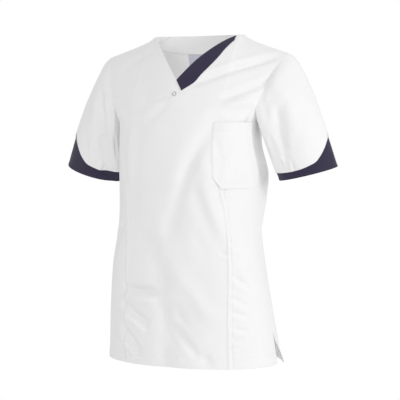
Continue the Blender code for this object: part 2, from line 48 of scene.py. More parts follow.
CAMERA_DISTANCE = 3.0
CAMERA_LENS = 120.0
CAMERA_TARGET = (0.0164, 0.0073, -0.369)
FLOOR_HEIGHT = -1.45
FLOOR_RADIUS = 2.2
FLOOR_SIDES = 96
WORLD_STRENGTH = 0.67
LAMPS = (
    ("key_light", (3.3, -0.45, 0.6), 1.0, 31.0),
    ("front_light", (-0.8, -3.4, 1.4), 2.0, 24.0),
    ("side_light", (2.5, -2.2, -0.6), 1.0, 8.0),
    ("inside_light", (-0.02, -0.02, -0.17), 0.12, 0.09, (-0.03, 0.11, -0.08)),
    ("rim_light", (-1.2, 3.0, 1.2), 1.6, 40.0),
)

# Woven cloths: name, yarn colour, painted shade colour for the weave's low points, threads for each metre,
# roughness and sheen
WOVEN = {
    "white": ("white_poly_cotton", (0.905, 0.898, 0.902, 1), (0.850, 0.843, 0.848, 1), 2600.0, 0.80, 0.12),
    "navy": ("navy_poly_cotton", (0.038, 0.031, 0.066, 1), (0.024, 0.020, 0.046, 1), 2600.0, 0.78, 0.20),
    "label": ("label_ribbon", (0.600, 0.600, 0.680, 1), (0.520, 0.520, 0.610, 1), 3400.0, 0.62, 0.05),
}

# Other finishes: name, light and dark colours, scale of the grain, roughness, depth of the bumps, even values
GRAINED = {
    "white_thread": (
        "white_thread", (0.91, 0.90, 0.90, 1), (0.80, 0.79, 0.80, 1), 3200.0, 0.50, 0.00006,
        {"Sheen Weight": 0.2},
    ),
    "navy_thread": (
        "navy_thread", (0.060, 0.050, 0.100, 1), (0.034, 0.028, 0.062, 1), 3200.0, 0.50, 0.00006,
        {"Sheen Weight": 0.2},
    ),
    "metal": (
        "satin_ring_metal", (0.62, 0.62, 0.64, 1), (0.50, 0.50, 0.53, 1), 1800.0, 0.24, 0.00002,
        {"Metallic": 1.0},
    ),
    "pearl": (
        "pearl_centre", (0.86, 0.86, 0.88, 1), (0.78, 0.78, 0.82, 1), 900.0, 0.22, 0.00002,
        {"Coat Weight": 0.4, "Coat Roughness": 0.12},
    ),
    "floor": ("pale_floor", (0.90, 0.90, 0.90, 1), (0.86, 0.86, 0.86, 1), 6.0, 0.75, 0.00100, {}),
}

# Cloth
SHELL = 0.0009
TRIM_SHELL = 0.0007
POCKET_SHELL = 0.0007
BAND_OFFSET = 0.0018
NECK_BAND_LIFT = 0.0014
FACING_OFFSET = 0.0016
LABEL_OFFSET = 0.0013
LABEL_SHELL = 0.0003
ARC_RADIUS = 0.14
SEAM_RADIUS = 0.12
RIDGE_MARGIN = 0.03
MIRROR = np.array([-1, 1, 1])
QUARTER_TURN = np.pi / 2
SLOPE_STEP = 0.0005

# Heights, measured from the shoulder beside the neck
HEM_HEIGHT = -0.728
UNDERARM_HEIGHT = -0.190
PRINCESS_TOP_HEIGHT = -0.165
V_HEIGHT = -0.103
BACK_NECK_HEIGHT = 0.003

# Shoulder ridge, which falls in a straight line from the middle to the shoulder tip
RIDGE_MIDDLE_HEIGHT = 0.0465
RIDGE_FALL = 0.410
RIDGE_SAG = 0.0045
SAG_NEARNESS = 0.5
RIDGE_NECK_Y = 0.044
RIDGE_TIP_Y = 0.033
NECK_HALF_WIDTH = 0.110
SHOULDER_HALF_WIDTH = 0.218
MIDDLE_ROUNDING = 0.060
MEAN_ROUNDING = 0.190
FRONT_EXTRA_ROUNDING = 0.010
ROUNDING_POWER = 1.6
NECKLINE_POWER = 1.40

# The trunk's level sections, from hem to shoulder
RING_POWER = 2.2
RING_COLUMNS = ("height", "half_width", "side_y", "front_y", "back_y")
RINGS = (
    (-0.728, 0.2030, 0.019, -0.124, 0.144),
    (-0.620, 0.1905, -0.008, -0.125, 0.130),
    (-0.520, 0.1790, -0.022, -0.122, 0.110),
    (-0.430, 0.1670, -0.014, -0.118, 0.099),
    (-0.360, 0.1705, 0.008, -0.124, 0.112),
    (-0.310, 0.1720, 0.014, -0.130, 0.125),
    (-0.235, 0.1620, -0.015, -0.129, 0.127),
    (-0.190, 0.1650, -0.017, -0.117, 0.126),
    (-0.165, 0.1800, -0.022, -0.108, 0.125),
    (-0.114, 0.2120, -0.008, -0.097, 0.120),
    (-0.050, 0.2360, 0.010, -0.097, 0.116),
    (0.050, 0.2500, 0.015, -0.097, 0.114),
)

# The two princess seams of the front: how far round they are from the centre front
PRINCESS_COLUMNS = ("height", "left_angle", "right_angle")
PRINCESS_SEAMS = (
    (-0.728, 41.0, 33.5),
    (-0.620, 44.0, 36.0),
    (-0.500, 48.0, 40.5),
    (-0.430, 48.5, 44.5),
    (-0.385, 45.5, 44.0),
    (-0.340, 41.5, 44.0),
    (-0.300, 45.0, 48.0),
    (-0.255, 55.0, 56.5),
    (-0.205, 65.5, 66.0),
    (-0.165, 71.0, 71.0),
)
PRINCESS_TOP_ANGLE = np.radians(PRINCESS_SEAMS[-1][1])

# The armhole edges, upward: how far round they are from the centre front or the centre back
ARMHOLE_COLUMNS = ("share", "height", "angle")
FRONT_ARMHOLE = (
    (0.00, -0.165, 71.0),
    (0.12, -0.150, 67.0),
    (0.29, -0.130, 63.5),
    (0.43, -0.114, 61.5),
    (0.60, -0.092, 60.1),
    (0.80, -0.070, 61.7),
    (1.00, -0.045, 65.6),
)
BACK_ARMHOLE = (
    (0.00, -0.190, 90.0),
    (0.08, -0.187, 82.0),
    (0.17, -0.175, 75.0),
    (0.30, -0.152, 69.5),
    (0.50, -0.118, 65.8),
    (0.70, -0.088, 64.0),
    (0.86, -0.063, 64.3),
    (1.00, -0.045, 65.6),
)
UNDERARM_COLUMNS = ("angle", "height")
UNDERARM_EDGE = (
    (71.0, -0.165),
    (76.0, -0.174),
    (83.0, -0.185),
    (90.0, -0.190),
)

# Side slit: both edges are drawn back from the side seam towards the hem, and the back's flap flares out
SLIT_HEIGHT = 0.070
SLIT_WIDTH = 0.006
SEAM_FADE = 0.004
SLIT_CORNER = 0.014
CORNER_FADE = 8
FLAP_FLARE = 0.0115
FLAP_REACH = 0.036
FLAP_POWER = 1.4

# Largest folds, each a soft trough or ridge along a line. In this and all crease tables u and v are x and
# height on the body, in metres; on a sleeve they are the places round from its top and down to the cuff.
FOLD_COLUMNS = ("start_u", "start_v", "end_u", "end_v", "half_width", "depth")
FRONT_FOLDS = (
    (0.096, -0.200, 0.050, -0.290, 0.016, -0.0045),
    (0.050, -0.290, 0.002, -0.416, 0.018, -0.0050),
    (0.090, -0.310, 0.134, -0.460, 0.018, 0.0040),
    (0.046, -0.104, 0.193, -0.049, 0.011, -0.0030),
    (0.112, -0.131, 0.190, -0.100, 0.011, -0.0030),
    (-0.060, -0.440, -0.018, -0.540, 0.018, -0.0040),
    (-0.018, -0.540, -0.012, -0.690, 0.018, -0.0045),
    (0.028, -0.535, 0.085, -0.600, 0.018, 0.0030),
    (0.030, -0.620, 0.082, -0.705, 0.013, -0.0045),
    (-0.110, -0.568, -0.034, -0.566, 0.013, -0.0035),
    (-0.075, -0.230, -0.090, -0.370, 0.016, -0.0025),
)
BACK_FOLDS = (
    (-0.100, -0.200, -0.055, -0.400, 0.020, -0.0040),
    (0.105, -0.210, 0.060, -0.390, 0.020, -0.0045),
    (0.020, -0.420, 0.055, -0.690, 0.022, -0.0040),
    (-0.060, -0.430, -0.100, -0.680, 0.020, -0.0045),
    (-0.150, -0.420, -0.070, -0.400, 0.014, -0.0030),
    (0.150, -0.430, 0.080, -0.405, 0.014, -0.0030),
)

# Cuffs, both written for the left side; the right sleeve is then mirrored, and hangs closer to the body
CUFFS = {
    "left": {
        "outer_end": (0.334, 0.030, -0.290),
        "inner_end": (0.205, 0.010, -0.321),
        "front_half_axis": (0.004, -0.043, -0.006),
        "peak_shift": 0.000,
        "edge_lift": 0.000,
    },
    "right": {
        "outer_end": (0.333, 0.030, -0.290),
        "inner_end": (0.181, 0.010, -0.328),
        "front_half_axis": (0.004, -0.034, -0.010),
        "peak_shift": 0.030,
        "edge_lift": 0.005,
    },
}
CAP_BULGE = 0.024
CAP_CENTRE = 0.12
CAP_POWER = 4.0
CAP_QUICKNESS = 0.56
CAP_START = 0.16
CAP_EASE = (1.95, -1.02, 0.07)
SLEEVE_FOLD_DEPTH = 0.004
SLEEVE_FOLD_PLACE = 0.30
SLEEVE_FOLD_WIDTH = 0.04
SLEEVE_GIRTH = 0.42
SLEEVE_LENGTH = 0.20
CUFF_GIRTH = 0.36

# The white sleeve's lower edge: how far above the cuff it is, going round from the outer side
SLEEVE_EDGE_COLUMNS = ("around", "above")
SLEEVE_EDGE = (
    (0.000, 0.078),
    (0.030, 0.051),
    (0.046, 0.035),
    (0.058, 0.025),
    (0.070, 0.021),
    (0.180, 0.021),
)
BAND_UNDERLAP = 0.012

# Neck band: where its outer edge is for points along the V's edge
NECK_BAND_COLUMNS = ("inner_x", "outer_x", "outer_height")
NECK_BAND = (
    (0.000, 0.0162, -0.1260),
    (0.022, 0.0376, -0.1090),
    (0.042, 0.0540, -0.0900),
    (0.058, 0.0685, -0.0710),
    (0.073, 0.0808, -0.0525),
    (0.087, 0.0912, -0.0310),
    (0.099, 0.1010, -0.0140),
)

# Back neck facing and label, inside the back
FACING_DEPTH = 0.040
FACING_TOP_HALF_WIDTH = 0.080
FACING_LOW_HALF_WIDTH = 0.132
FACING_END_HEIGHT = -0.022
FACING_CURVE = 3.0
LABEL_LEFT_X = 0.012
LABEL_RIGHT_X = -0.050
LABEL_HEIGHT = 0.030
LABEL_GAP = 0.0008
LABEL_OVERLAP = 0.004
LABEL_CURL = 0.0012

# Chest pocket, on the wearer's left
POCKET_INNER_X = 0.097
POCKET_LOW_ANGLE = 79.0
POCKET_TOP_ANGLE = 81.0
POCKET_TOP_HEIGHT = -0.194
POCKET_BOTTOM_HEIGHT = -0.338
POCKET_CORNER_SHARE = 0.14
POCKET_CORNER_HEIGHT = 0.025
POCKET_WIDTH = 0.112
POCKET_LENGTH = POCKET_TOP_HEIGHT - POCKET_BOTTOM_HEIGHT
POCKET_STAND = 0.0009
POCKET_ALLOWANCE = 0.0075

# Press stud cap, on the centre front
SNAP_X = 0.001
SNAP_HEIGHT = -0.133
SNAP_RADIUS = 0.0050
SNAP_THICKNESS = 0.0018
SNAP_SIDES = 72

# The sleeve's middle at the armhole and at the cuffs, from which the cap bulges outwards
SLEEVE_TOP_MIDDLE = (0.1891, 0.0013, -0.1190)
CUFF_MIDDLES = {"left": (0.2704, 0.0148, -0.3061), "right": (0.2580, 0.0159, -0.3101)}

# Creases: a bell-shaped section with a lip beside it, along a line that may bow
LIP_PLACE = 1.7
CREASE_COLUMNS = ("start_u", "start_v", "end_u", "end_v", "bow", "half_width", "depth", "lip")
FRONT_CREASES = (
    (0.034, -0.113, 0.222, -0.044, -0.003, 0.0074, -0.0068, -0.4),
    (0.100, -0.146, 0.206, -0.101, 0.001, 0.0078, -0.0070, -0.4),
    (0.108, -0.160, 0.168, -0.146, 0.001, 0.0080, 0.0040, 0.5),
    (0.116, -0.180, 0.180, -0.161, 0.001, 0.0090, -0.0040, 0.3),
    (-0.002, -0.136, -0.082, -0.146, -0.003, 0.0050, -0.0025, 0.4),
    (-0.005, -0.150, -0.060, -0.200, 0.002, 0.0090, -0.0018, 0.2),
    (-0.112, -0.060, -0.056, -0.150, 0.004, 0.0200, -0.0022, 0.2),
    (-0.094, -0.195, -0.100, -0.330, 0.004, 0.0110, 0.0028, 0.3),
    (-0.160, -0.146, -0.100, -0.180, 0.002, 0.0100, -0.0031, 0.3),
    (0.084, -0.225, 0.012, -0.385, 0.004, 0.0110, -0.0022, -0.4),
    (0.103, -0.223, 0.120, -0.286, 0.002, 0.0070, -0.0014, 0.3),
    (0.128, -0.315, 0.150, -0.285, 0.001, 0.0070, -0.0012, 0.3),
    (0.090, -0.310, 0.134, -0.460, 0.000, 0.0170, -0.0026, 0.0),
    (0.076, -0.310, 0.122, -0.456, 0.004, 0.0130, 0.0046, 0.3),
    (0.108, -0.474, 0.148, -0.488, 0.000, 0.0048, -0.0024, 0.4),
    (-0.112, -0.452, -0.020, -0.470, -0.006, 0.0240, -0.0040, 0.2),
    (-0.080, -0.395, -0.052, -0.452, 0.000, 0.0160, 0.0028, 0.0),
    (-0.012, -0.500, -0.004, -0.590, 0.000, 0.0200, 0.0018, 0.0),
    (-0.012, -0.590, 0.016, -0.690, 0.002, 0.0130, -0.0025, 0.3),
    (0.030, -0.620, 0.082, -0.705, 0.000, 0.0130, 0.0034, 0.0),
    (0.004, -0.632, 0.070, -0.710, -0.004, 0.0095, -0.0044, -0.3),
    (-0.060, -0.440, -0.018, -0.540, 0.000, 0.0170, 0.0012, 0.0),
    (-0.090, -0.446, -0.006, -0.570, 0.000, 0.0360, -0.0036, 0.0),
    (-0.024, -0.575, 0.030, -0.700, 0.000, 0.0280, -0.0030, 0.0),
    (-0.126, -0.560, -0.030, -0.566, 0.002, 0.0105, -0.0105, 0.7),
    (-0.126, -0.592, -0.048, -0.640, 0.001, 0.0100, -0.0098, 0.6),
    (-0.126, -0.644, -0.070, -0.706, 0.001, 0.0100, -0.0095, 0.6),
    (-0.116, -0.694, -0.092, -0.712, 0.000, 0.0050, -0.0018, 0.4),
    (0.052, -0.545, 0.092, -0.625, 0.003, 0.0150, 0.0014, 0.3),
    (0.134, -0.522, 0.174, -0.555, 0.001, 0.0060, -0.0042, 0.6),
    (0.134, -0.570, 0.173, -0.595, 0.001, 0.0060, -0.0038, 0.5),
    (0.134, -0.605, 0.166, -0.614, 0.000, 0.0050, -0.0032, 0.5),
    (0.134, -0.638, 0.167, -0.646, 0.000, 0.0052, -0.0032, 0.5),
    (0.136, -0.664, 0.163, -0.665, 0.000, 0.0050, -0.0018, 0.4),
    (0.158, -0.500, 0.186, -0.552, 0.003, 0.0065, -0.0032, 0.5),
    (0.156, -0.420, 0.168, -0.490, 0.003, 0.0070, -0.0018, 0.3),
    (-0.126, -0.416, -0.160, -0.468, 0.002, 0.0065, -0.0045, 0.5),
    (-0.143, -0.436, -0.158, -0.530, 0.005, 0.0070, -0.0036, 0.4),
    (-0.136, -0.330, -0.150, -0.400, 0.003, 0.0090, -0.0022, 0.3),
    (0.060, -0.420, 0.088, -0.500, 0.004, 0.0140, -0.0014, 0.3),
    (-0.150, -0.600, -0.162, -0.690, 0.003, 0.0090, -0.0025, 0.3),
    (-0.080, -0.030, -0.160, -0.080, 0.003, 0.0100, -0.0022, 0.3),
)
BACK_CREASES = (
    (-0.105, -0.120, -0.060, -0.235, 0.006, 0.0090, -0.0031, 0.4),
    (0.112, -0.125, 0.075, -0.250, -0.006, 0.0100, -0.0034, 0.4),
    (-0.150, -0.170, -0.088, -0.205, 0.003, 0.0070, -0.0031, 0.5),
    (0.152, -0.178, 0.095, -0.200, -0.003, 0.0060, -0.0027, 0.5),
    (-0.165, -0.415, -0.070, -0.398, 0.004, 0.0070, -0.0041, 0.5),
    (-0.162, -0.450, -0.095, -0.442, 0.002, 0.0050, -0.0027, 0.5),
    (0.164, -0.428, 0.072, -0.402, -0.004, 0.0070, -0.0037, 0.5),
    (0.160, -0.466, 0.110, -0.452, -0.002, 0.0050, -0.0026, 0.4),
    (0.040, -0.380, -0.045, -0.405, 0.004, 0.0080, -0.0026, 0.4),
    (-0.030, -0.430, -0.052, -0.610, 0.008, 0.0130, -0.0037, 0.4),
    (0.062, -0.450, 0.084, -0.690, -0.008, 0.0120, 0.0041, 0.4),
    (-0.110, -0.520, -0.132, -0.715, 0.006, 0.0110, -0.0034, 0.4),
    (0.140, -0.540, 0.150, -0.700, 0.004, 0.0090, -0.0031, 0.3),
    (0.005, -0.560, 0.022, -0.722, 0.004, 0.0100, -0.0027, 0.4),
    (-0.060, -0.030, -0.020, -0.085, 0.004, 0.0100, -0.0019, 0.3),
    (0.080, -0.040, 0.150, -0.085, 0.004, 0.0090, -0.0022, 0.3),
)

# Low, long waves of hanging cloth: turns for each unit across and upwards, phase in turns, depth
WAVE_COLUMNS = ("across", "upward", "phase", "depth")
WAVES = (
    (7.1, 2.3, 0.10, 0.00050),
    (-9.7, 4.1, 0.63, 0.00034),
    (13.3, 5.9, 0.37, 0.00020),
    (3.1, -8.7, 0.81, 0.00026),
)
SLEEVE_WAVES = (
    (5.0, 1.2, 0.0, 0.0004),
    (9.0, -2.3, 0.3, 0.0003),
)

# Creases of the sleeves
SLEEVE_CREASE_COLUMNS = ("start_u", "start_v", "end_u", "end_v", "half_width", "depth", "lip")
SLEEVE_CREASES = {
    "left": (
        (0.228, 0.26, 0.272, 0.56, 0.0165, -0.0074, 0.1),
        (0.262, 0.46, 0.290, 0.70, 0.0120, -0.0048, 0.2),
        (0.258, 0.55, 0.305, 0.80, 0.0080, -0.0035, 0.4),
        (0.130, 0.36, 0.168, 0.64, 0.0140, -0.0022, 0.3),
        (0.272, 0.78, 0.284, 0.94, 0.0035, -0.0024, 0.5),
        (0.300, 0.72, 0.322, 0.92, 0.0045, -0.0034, 0.5),
        (0.335, 0.74, 0.350, 0.92, 0.0040, -0.0030, 0.5),
        (0.345, 0.40, 0.352, 0.68, 0.0070, -0.0032, 0.4),
        (0.050, 0.10, 0.075, 0.42, 0.0130, -0.0016, 0.3),
        (0.900, 0.12, 0.870, 0.56, 0.0120, -0.0026, 0.4),
        (0.800, 0.18, 0.745, 0.66, 0.0110, -0.0042, 0.5),
        (0.700, 0.10, 0.655, 0.60, 0.0090, -0.0035, 0.4),
        (0.600, 0.15, 0.560, 0.80, 0.0080, -0.0029, 0.4),
    ),
    "right": (
        (0.205, 0.14, 0.250, 0.30, 0.0130, -0.0067, 0.5),
        (0.246, 0.22, 0.290, 0.46, 0.0120, -0.0075, 0.4),
        (0.285, 0.40, 0.400, 0.94, 0.0170, -0.0125, 0.2),
        (0.320, 0.86, 0.440, 0.97, 0.0150, -0.0075, 0.0),
        (0.395, 0.30, 0.430, 0.70, 0.0060, -0.0030, 0.4),
        (0.130, 0.26, 0.178, 0.56, 0.0140, -0.0026, 0.3),
        (0.200, 0.58, 0.225, 0.84, 0.0070, -0.0019, 0.4),
        (0.048, 0.10, 0.066, 0.44, 0.0130, -0.0018, 0.3),
        (0.905, 0.15, 0.865, 0.60, 0.0120, -0.0029, 0.4),
        (0.810, 0.14, 0.765, 0.70, 0.0110, -0.0038, 0.5),
        (0.705, 0.12, 0.665, 0.66, 0.0090, -0.0035, 0.4),
        (0.600, 0.20, 0.575, 0.84, 0.0080, -0.0026, 0.4),
    ),
}

# Sewing; each ROW is how far in from an edge or seam a row of stitches runs
LAP_ROWS = (0.0018, 0.0078)
LAP_WIDTH = 0.0086
LAP_HEIGHT = 0.0018
LAP_OVERRUN = 0.0022
LAP_FALL = 0.0032
SEAM_GROOVES = {1: 0.0006, -1: 0.0016}
GROOVE_HALF_WIDTH = 0.0012
DENT_DEPTH = 0.00022
DENT_HALF_WIDTH = 0.0007
EDGE_THICKNESS = 0.0004
EDGE_ROUNDING = 0.0005
PUCKER_PACE = 0.0135
PUCKER_DRIFT = 0.047
PUCKER_SWELL = 0.11
SWELL_HEIGHT = 0.0018
SWELL_PLACE = 0.0040
SWELL_HALF_WIDTH = 0.0140
HEM_FOLD = 0.0240
HEM_ROW = 0.0190
SLIT_ROW = 0.0060
NECK_ROW = 0.0045
BAND_OUTSIDE_ROW = 0.0015
BACK_NECK_ROW = 0.0040
SHOULDER_ROW = 0.0007
ROW_END = 0.0020
NECK_ROW_END = 0.0040
FRONT_SLIT_START = 0.0120
HEM_ROW_REST = 0.06
ARMHOLE_TUCK = 0.0012
ARMHOLE_DEPTH = 0.0010
POCKET_ROW = 0.0020
POCKET_HEM_ROW = 0.0200
POCKET_ROW_TOP = 0.998
SLEEVE_ROW = 0.0025
BAND_HEM_ROW = 0.0040
FACING_ROW = 0.0020
STITCH_PITCH = 0.0029
STITCH_LENGTH = 0.0021
STITCH_RADIUS = 0.00022
STITCH_SIDES = 6
ROW_LIFT = 0.0002
BAR_TACK_X = (0.0135, 0.0225)
BAR_TACK_HEIGHT = -0.1325
BAR_TACK_LENGTH = 0.0050

# Grid sizes
MIDDLE_COLUMNS = 36
EDGE_COLUMNS = 14
HEM_ROWS = 16
LOWER_ROWS = 190
UPPER_ROWS = 60
RIDGE_CROWDING = 1.5
SLEEVE_COLUMNS = 132
SLEEVE_ROWS = 96
BAND_ROWS = 24
RING_POINTS = 721


def column(rows, names, name):
    """One named column of a table, as an array."""
    return np.array([row[names.index(name)] for row in rows], float)


def smooth(at, places, values):
    """A cubic curve through the rows of a table, read at any places."""
    slopes = np.gradient(values, places)
    at = np.clip(at, places[0], places[-1])
    row = np.clip(np.searchsorted(places, at) - 1, 0, len(places) - 2)
    step = places[row + 1] - places[row]
    share = (at - places[row]) / step
    rest = 1 - share
    return (
        values[row] * (1 + 2 * share) * rest**2
        + values[row + 1] * (1 + 2 * rest) * share**2
        + slopes[row] * step * share * rest**2
        - slopes[row + 1] * step * rest * share**2
    )


def read(rows, names, key, name, at):
    """A table's named column, read at places along its key column."""
    return smooth(at, column(rows, names, key), column(rows, names, name))


def ring_value(name, height):
    return read(RINGS, RING_COLUMNS, "height", name, height)


def blend(start, end, share):
    return start + (end - start) * share


def from_middle(x):
    """Distance from the middle, rounded off close to it so that the neck has no corner."""
    rounded = (x**2 + MIDDLE_ROUNDING**2) / (2 * MIDDLE_ROUNDING)
    return np.where(np.abs(x) < MIDDLE_ROUNDING, rounded, np.abs(x))


def ridge_height(x):
    out = np.clip((np.abs(x) - NECK_HALF_WIDTH) / (SHOULDER_HALF_WIDTH - NECK_HALF_WIDTH), 0, 1)
    return RIDGE_MIDDLE_HEIGHT - RIDGE_FALL * from_middle(x) - RIDGE_SAG * np.sin(np.pi * out**SAG_NEARNESS)


def ridge_y(x):
    along = (from_middle(x) - NECK_HALF_WIDTH) / (SHOULDER_HALF_WIDTH - NECK_HALF_WIDTH)
    return blend(RIDGE_NECK_Y, RIDGE_TIP_Y, along)


def front_neckline(x):
    """Height of the V's edge at a distance from the middle."""
    rest = np.clip(1 - np.abs(x) / NECK_HALF_WIDTH, 0, 1)
    edge = ridge_height(NECK_HALF_WIDTH)
    return edge - (edge - V_HEIGHT) * rest**NECKLINE_POWER


def back_neckline(x):
    return blend(BACK_NECK_HEIGHT, ridge_height(NECK_HALF_WIDTH), (x / NECK_HALF_WIDTH) ** 2)


def angle_at(x, height):
    """The angle round the body, in radians from the middle, of a point at x and a height."""
    share = np.clip(np.abs(x) / ring_value("half_width", height), 0, 1)
    return np.sign(x) * np.arcsin(share ** (RING_POWER / 2))


def bare_body(angle, height):
    """A point of the body surface without folds.

    The angle runs from 0 at the centre front, past a quarter turn at the wearer's left side seam, to a half
    turn at the centre back. The level section is a squared ellipse with its own front and back depth, and
    it is drawn in to the shoulder ridge over the rounding height.
    """
    sine, cosine = np.sin(angle), np.cos(angle)
    bow = 2 / RING_POWER
    x = ring_value("half_width", height) * np.sign(sine) * np.abs(sine) ** bow
    front = cosine >= 0
    side_y = ring_value("side_y", height)
    far_y = np.where(front, ring_value("front_y", height), ring_value("back_y", height))
    plain_y = blend(side_y, far_y, np.abs(cosine) ** bow)
    rounding = MEAN_ROUNDING + FRONT_EXTRA_ROUNDING * cosine
    drop = np.clip((ridge_height(x) - height) / rounding, 0, 1)
    out = (1 - (1 - drop) ** ROUNDING_POWER) ** (1 / ROUNDING_POWER)
    y = blend(ridge_y(x), plain_y, out)
    return np.stack(np.broadcast_arrays(x, y, height), axis=-1)


def normals_of(surface, angle, height):
    """Unit normals of a surface of angle and height, from the differences across a small step."""
    turn, climb = 0.0025, 0.0005
    across = surface(angle + turn, height) - surface(angle - turn, height)
    upward = surface(angle, height + climb) - surface(angle, height - climb)
    normal = np.cross(across, upward)
    return normal / np.linalg.norm(normal, axis=-1, keepdims=True)


def beside_line(line, u, v, scale=(1.0, 1.0)):
    """For points of a plan: how far along a line they are and how far aside, and the line's length.

    The scale turns the line's places into metres.
    """
    run_u, run_v = ((line["end_" + axis] - line["start_" + axis]) * unit for axis, unit in zip("uv", scale))
    from_u, from_v = (u - line["start_u"]) * scale[0], (v - line["start_v"]) * scale[1]
    length = np.hypot(run_u, run_v)
    return (from_u * run_u + from_v * run_v) / length, (from_u * run_v - from_v * run_u) / length, length


def fold_depth(rows, x, height):
    """Sum of the folds at points seen from the front or the back.

    Each fold is a bell-shaped section carried along a line from its start to its end, fading at both ends.
    """
    total = np.zeros(np.broadcast(x, height).shape)
    for row in rows:
        fold = dict(zip(FOLD_COLUMNS, row))
        along, aside, length = beside_line(fold, x, height)
        beyond = np.maximum(0, np.maximum(-along, along - length)) / (2 * fold["half_width"])
        total += fold["depth"] * np.exp(-((aside / fold["half_width"]) ** 2) - beyond**2)
    return total


def rise(value):
    """An even step from 0 to 1 for values from 0 to 1: 3v^2 - 2v^3, held at both ends."""
    value = np.clip(value, 0, 1)
    return value**2 * (3 - 2 * value)


def bell(value):
    return np.exp(-(value**2))


def crease_depth(rows, names, u, v, scale=(1.0, 1.0)):
    """Sum of the creases at points of the body's or a sleeve's plan.

    A crease is a bell across a line that bows by a parabola, with a lip of the opposite sign 1.7 half
    widths to one side. It tapers as 1 - |2t - 1|^3, where t runs along it from 0 to 1.
    """
    total = np.zeros(np.broadcast(u, v).shape)
    for row in rows:
        crease = dict(zip(names, row))
        along, aside, length = beside_line(crease, u, v, scale)
        share = np.clip(along / length, 0, 1)
        aside = (aside - crease.get("bow", 0) * 4 * share * (1 - share)) / crease["half_width"]
        section = bell(aside) - abs(crease["lip"]) * bell(aside - LIP_PLACE * np.sign(crease["lip"]))
        total += crease["depth"] * section * (1 - np.abs(2 * share - 1) ** 3)
    return total


def slow_waves(rows, u, v):
    """Sum of slanting sine waves."""
    total = np.zeros(np.broadcast(u, v).shape)
    for row in rows:
        wave = dict(zip(WAVE_COLUMNS, row))
        total += wave["depth"] * np.sin(2 * np.pi * (wave["across"] * u + wave["upward"] * v + wave["phase"]))
    return total


def uneven(place):
    """An irregular run of small ups and downs along a seam: a sine whose pace and size both drift."""
    drift = 1.7 * np.sin(2 * np.pi * place / PUCKER_DRIFT)
    size = 0.6 + 0.4 * np.sin(2 * np.pi * place / PUCKER_SWELL + 1)
    return size * np.sin(2 * np.pi * place / PUCKER_PACE + drift)


def sewn_line(distance):
    """The dent that a row of stitches pulls into the cloth."""
    return -DENT_DEPTH * bell(distance / DENT_HALF_WIDTH)


def puckers(distance, place, size, reach):
    """Small ups and downs along a seam, which fade out with distance from it."""
    return size * np.exp(-np.abs(distance) / reach) * uneven(place)


def groove(distance, depth):
    return -depth * bell(distance / GROOVE_HALF_WIDTH)


def lapped_seam(inside, place, groove_depth):
    """Relief of a lapped seam, on the side where inside is positive.

    The lap rises evenly from the seam to its second row of stitches, and falls off steeply behind it. The
    seam itself is a groove, and small puckers fade out on both sides.
    """
    fall = rise((LAP_WIDTH + LAP_OVERRUN - inside) / LAP_FALL)
    slope = LAP_HEIGHT * np.clip(inside / LAP_WIDTH, 0, 1) * fall
    rows = sum(sewn_line(inside - at) for at in LAP_ROWS)
    return slope + groove(inside, groove_depth) + rows + puckers(inside, place, 0.0004, 0.011)


def plain_seam(distance, place):
    """Relief of a seam pressed open: a narrow groove with small puckers on both sides."""
    return groove(distance, 0.0007) + puckers(distance, place, 0.0003, 0.009)


def turned_edge(distance, width, place=None):
    """Relief of a turned and stitched edge, as thick as two layers up to its row of stitches."""
    double = EDGE_THICKNESS * rise((width + 0.0010 - distance) / 0.0016)
    pucker = 0 if place is None else 0.0003 * bell((distance - width) / 0.006) * uneven(place)
    return double + sewn_line(distance - width) + pucker


def rounded_edge(distance):
    """How far a cut edge is rounded off towards the cloth below it."""
    return EDGE_ROUNDING * bell(distance / 0.0009)


def seam_angle(side, height):
    """Angle of a princess seam, in radians from the centre front."""
    name = "left_angle" if side > 0 else "right_angle"
    return np.radians(read(PRINCESS_SEAMS, PRINCESS_COLUMNS, "height", name, height))


def slit_angle(height):
    """How far each edge of the slit is drawn back from the side seam, in radians."""
    return np.clip(1 - (height - HEM_HEIGHT) / SLIT_HEIGHT, 0, 1) * SLIT_WIDTH / SEAM_RADIUS


def slope_at(neckline, x):
    return (neckline(x + SLOPE_STEP) - neckline(x - SLOPE_STEP)) / (2 * SLOPE_STEP)


def neck_distance(x, height, neckline):
    """Distance of a point below a neckline, square to the curve."""
    return (neckline(x) - height) / np.sqrt(1 + slope_at(neckline, x) ** 2)


def common_sewing(angle, x, height):
    """Relief of the hem, the shoulder seam, the side seam and the edges of its slit."""
    around = np.abs(angle) * ARC_RADIUS
    hem = turned_edge(height - HEM_HEIGHT, HEM_ROW, around)
    shoulder = groove(ridge_height(x) - height, 0.0006)
    from_side = np.abs(np.abs(angle) - QUARTER_TURN) * ARC_RADIUS
    above_slit = rise((height - HEM_HEIGHT - SLIT_HEIGHT) / SEAM_FADE)
    side = plain_seam(from_side, height) * above_slit
    from_slit = np.maximum(0, from_side - slit_angle(height) * ARC_RADIUS)
    slit = turned_edge(from_slit, SLIT_ROW) * (1 - above_slit)
    return hem + shoulder + side + slit


def front_sewing(angle, x, height):
    """Relief of the front's sewing."""
    total = common_sewing(angle, x, height)
    below_armhole = 1 - rise((height - PRINCESS_TOP_HEIGHT) / SEAM_FADE)
    for side in (1, -1):
        inside = (seam_angle(side, height) - side * angle) * ARC_RADIUS
        total += lapped_seam(inside, height + 0.03 * side, SEAM_GROOVES[side]) * below_armhole
    from_neck = neck_distance(x, height, front_neckline)
    on_neck = (np.abs(x) < NECK_HALF_WIDTH) & (x < 0)
    return total + np.where(on_neck, turned_edge(from_neck, NECK_ROW, x), 0)


def back_sewing(angle, x, height):
    """Relief of the back's sewing."""
    from_neck = neck_distance(x, height, back_neckline)
    on_neck = np.abs(x) < NECK_HALF_WIDTH
    return common_sewing(angle, x, height) + np.where(on_neck, turned_edge(from_neck, BACK_NECK_ROW), 0)


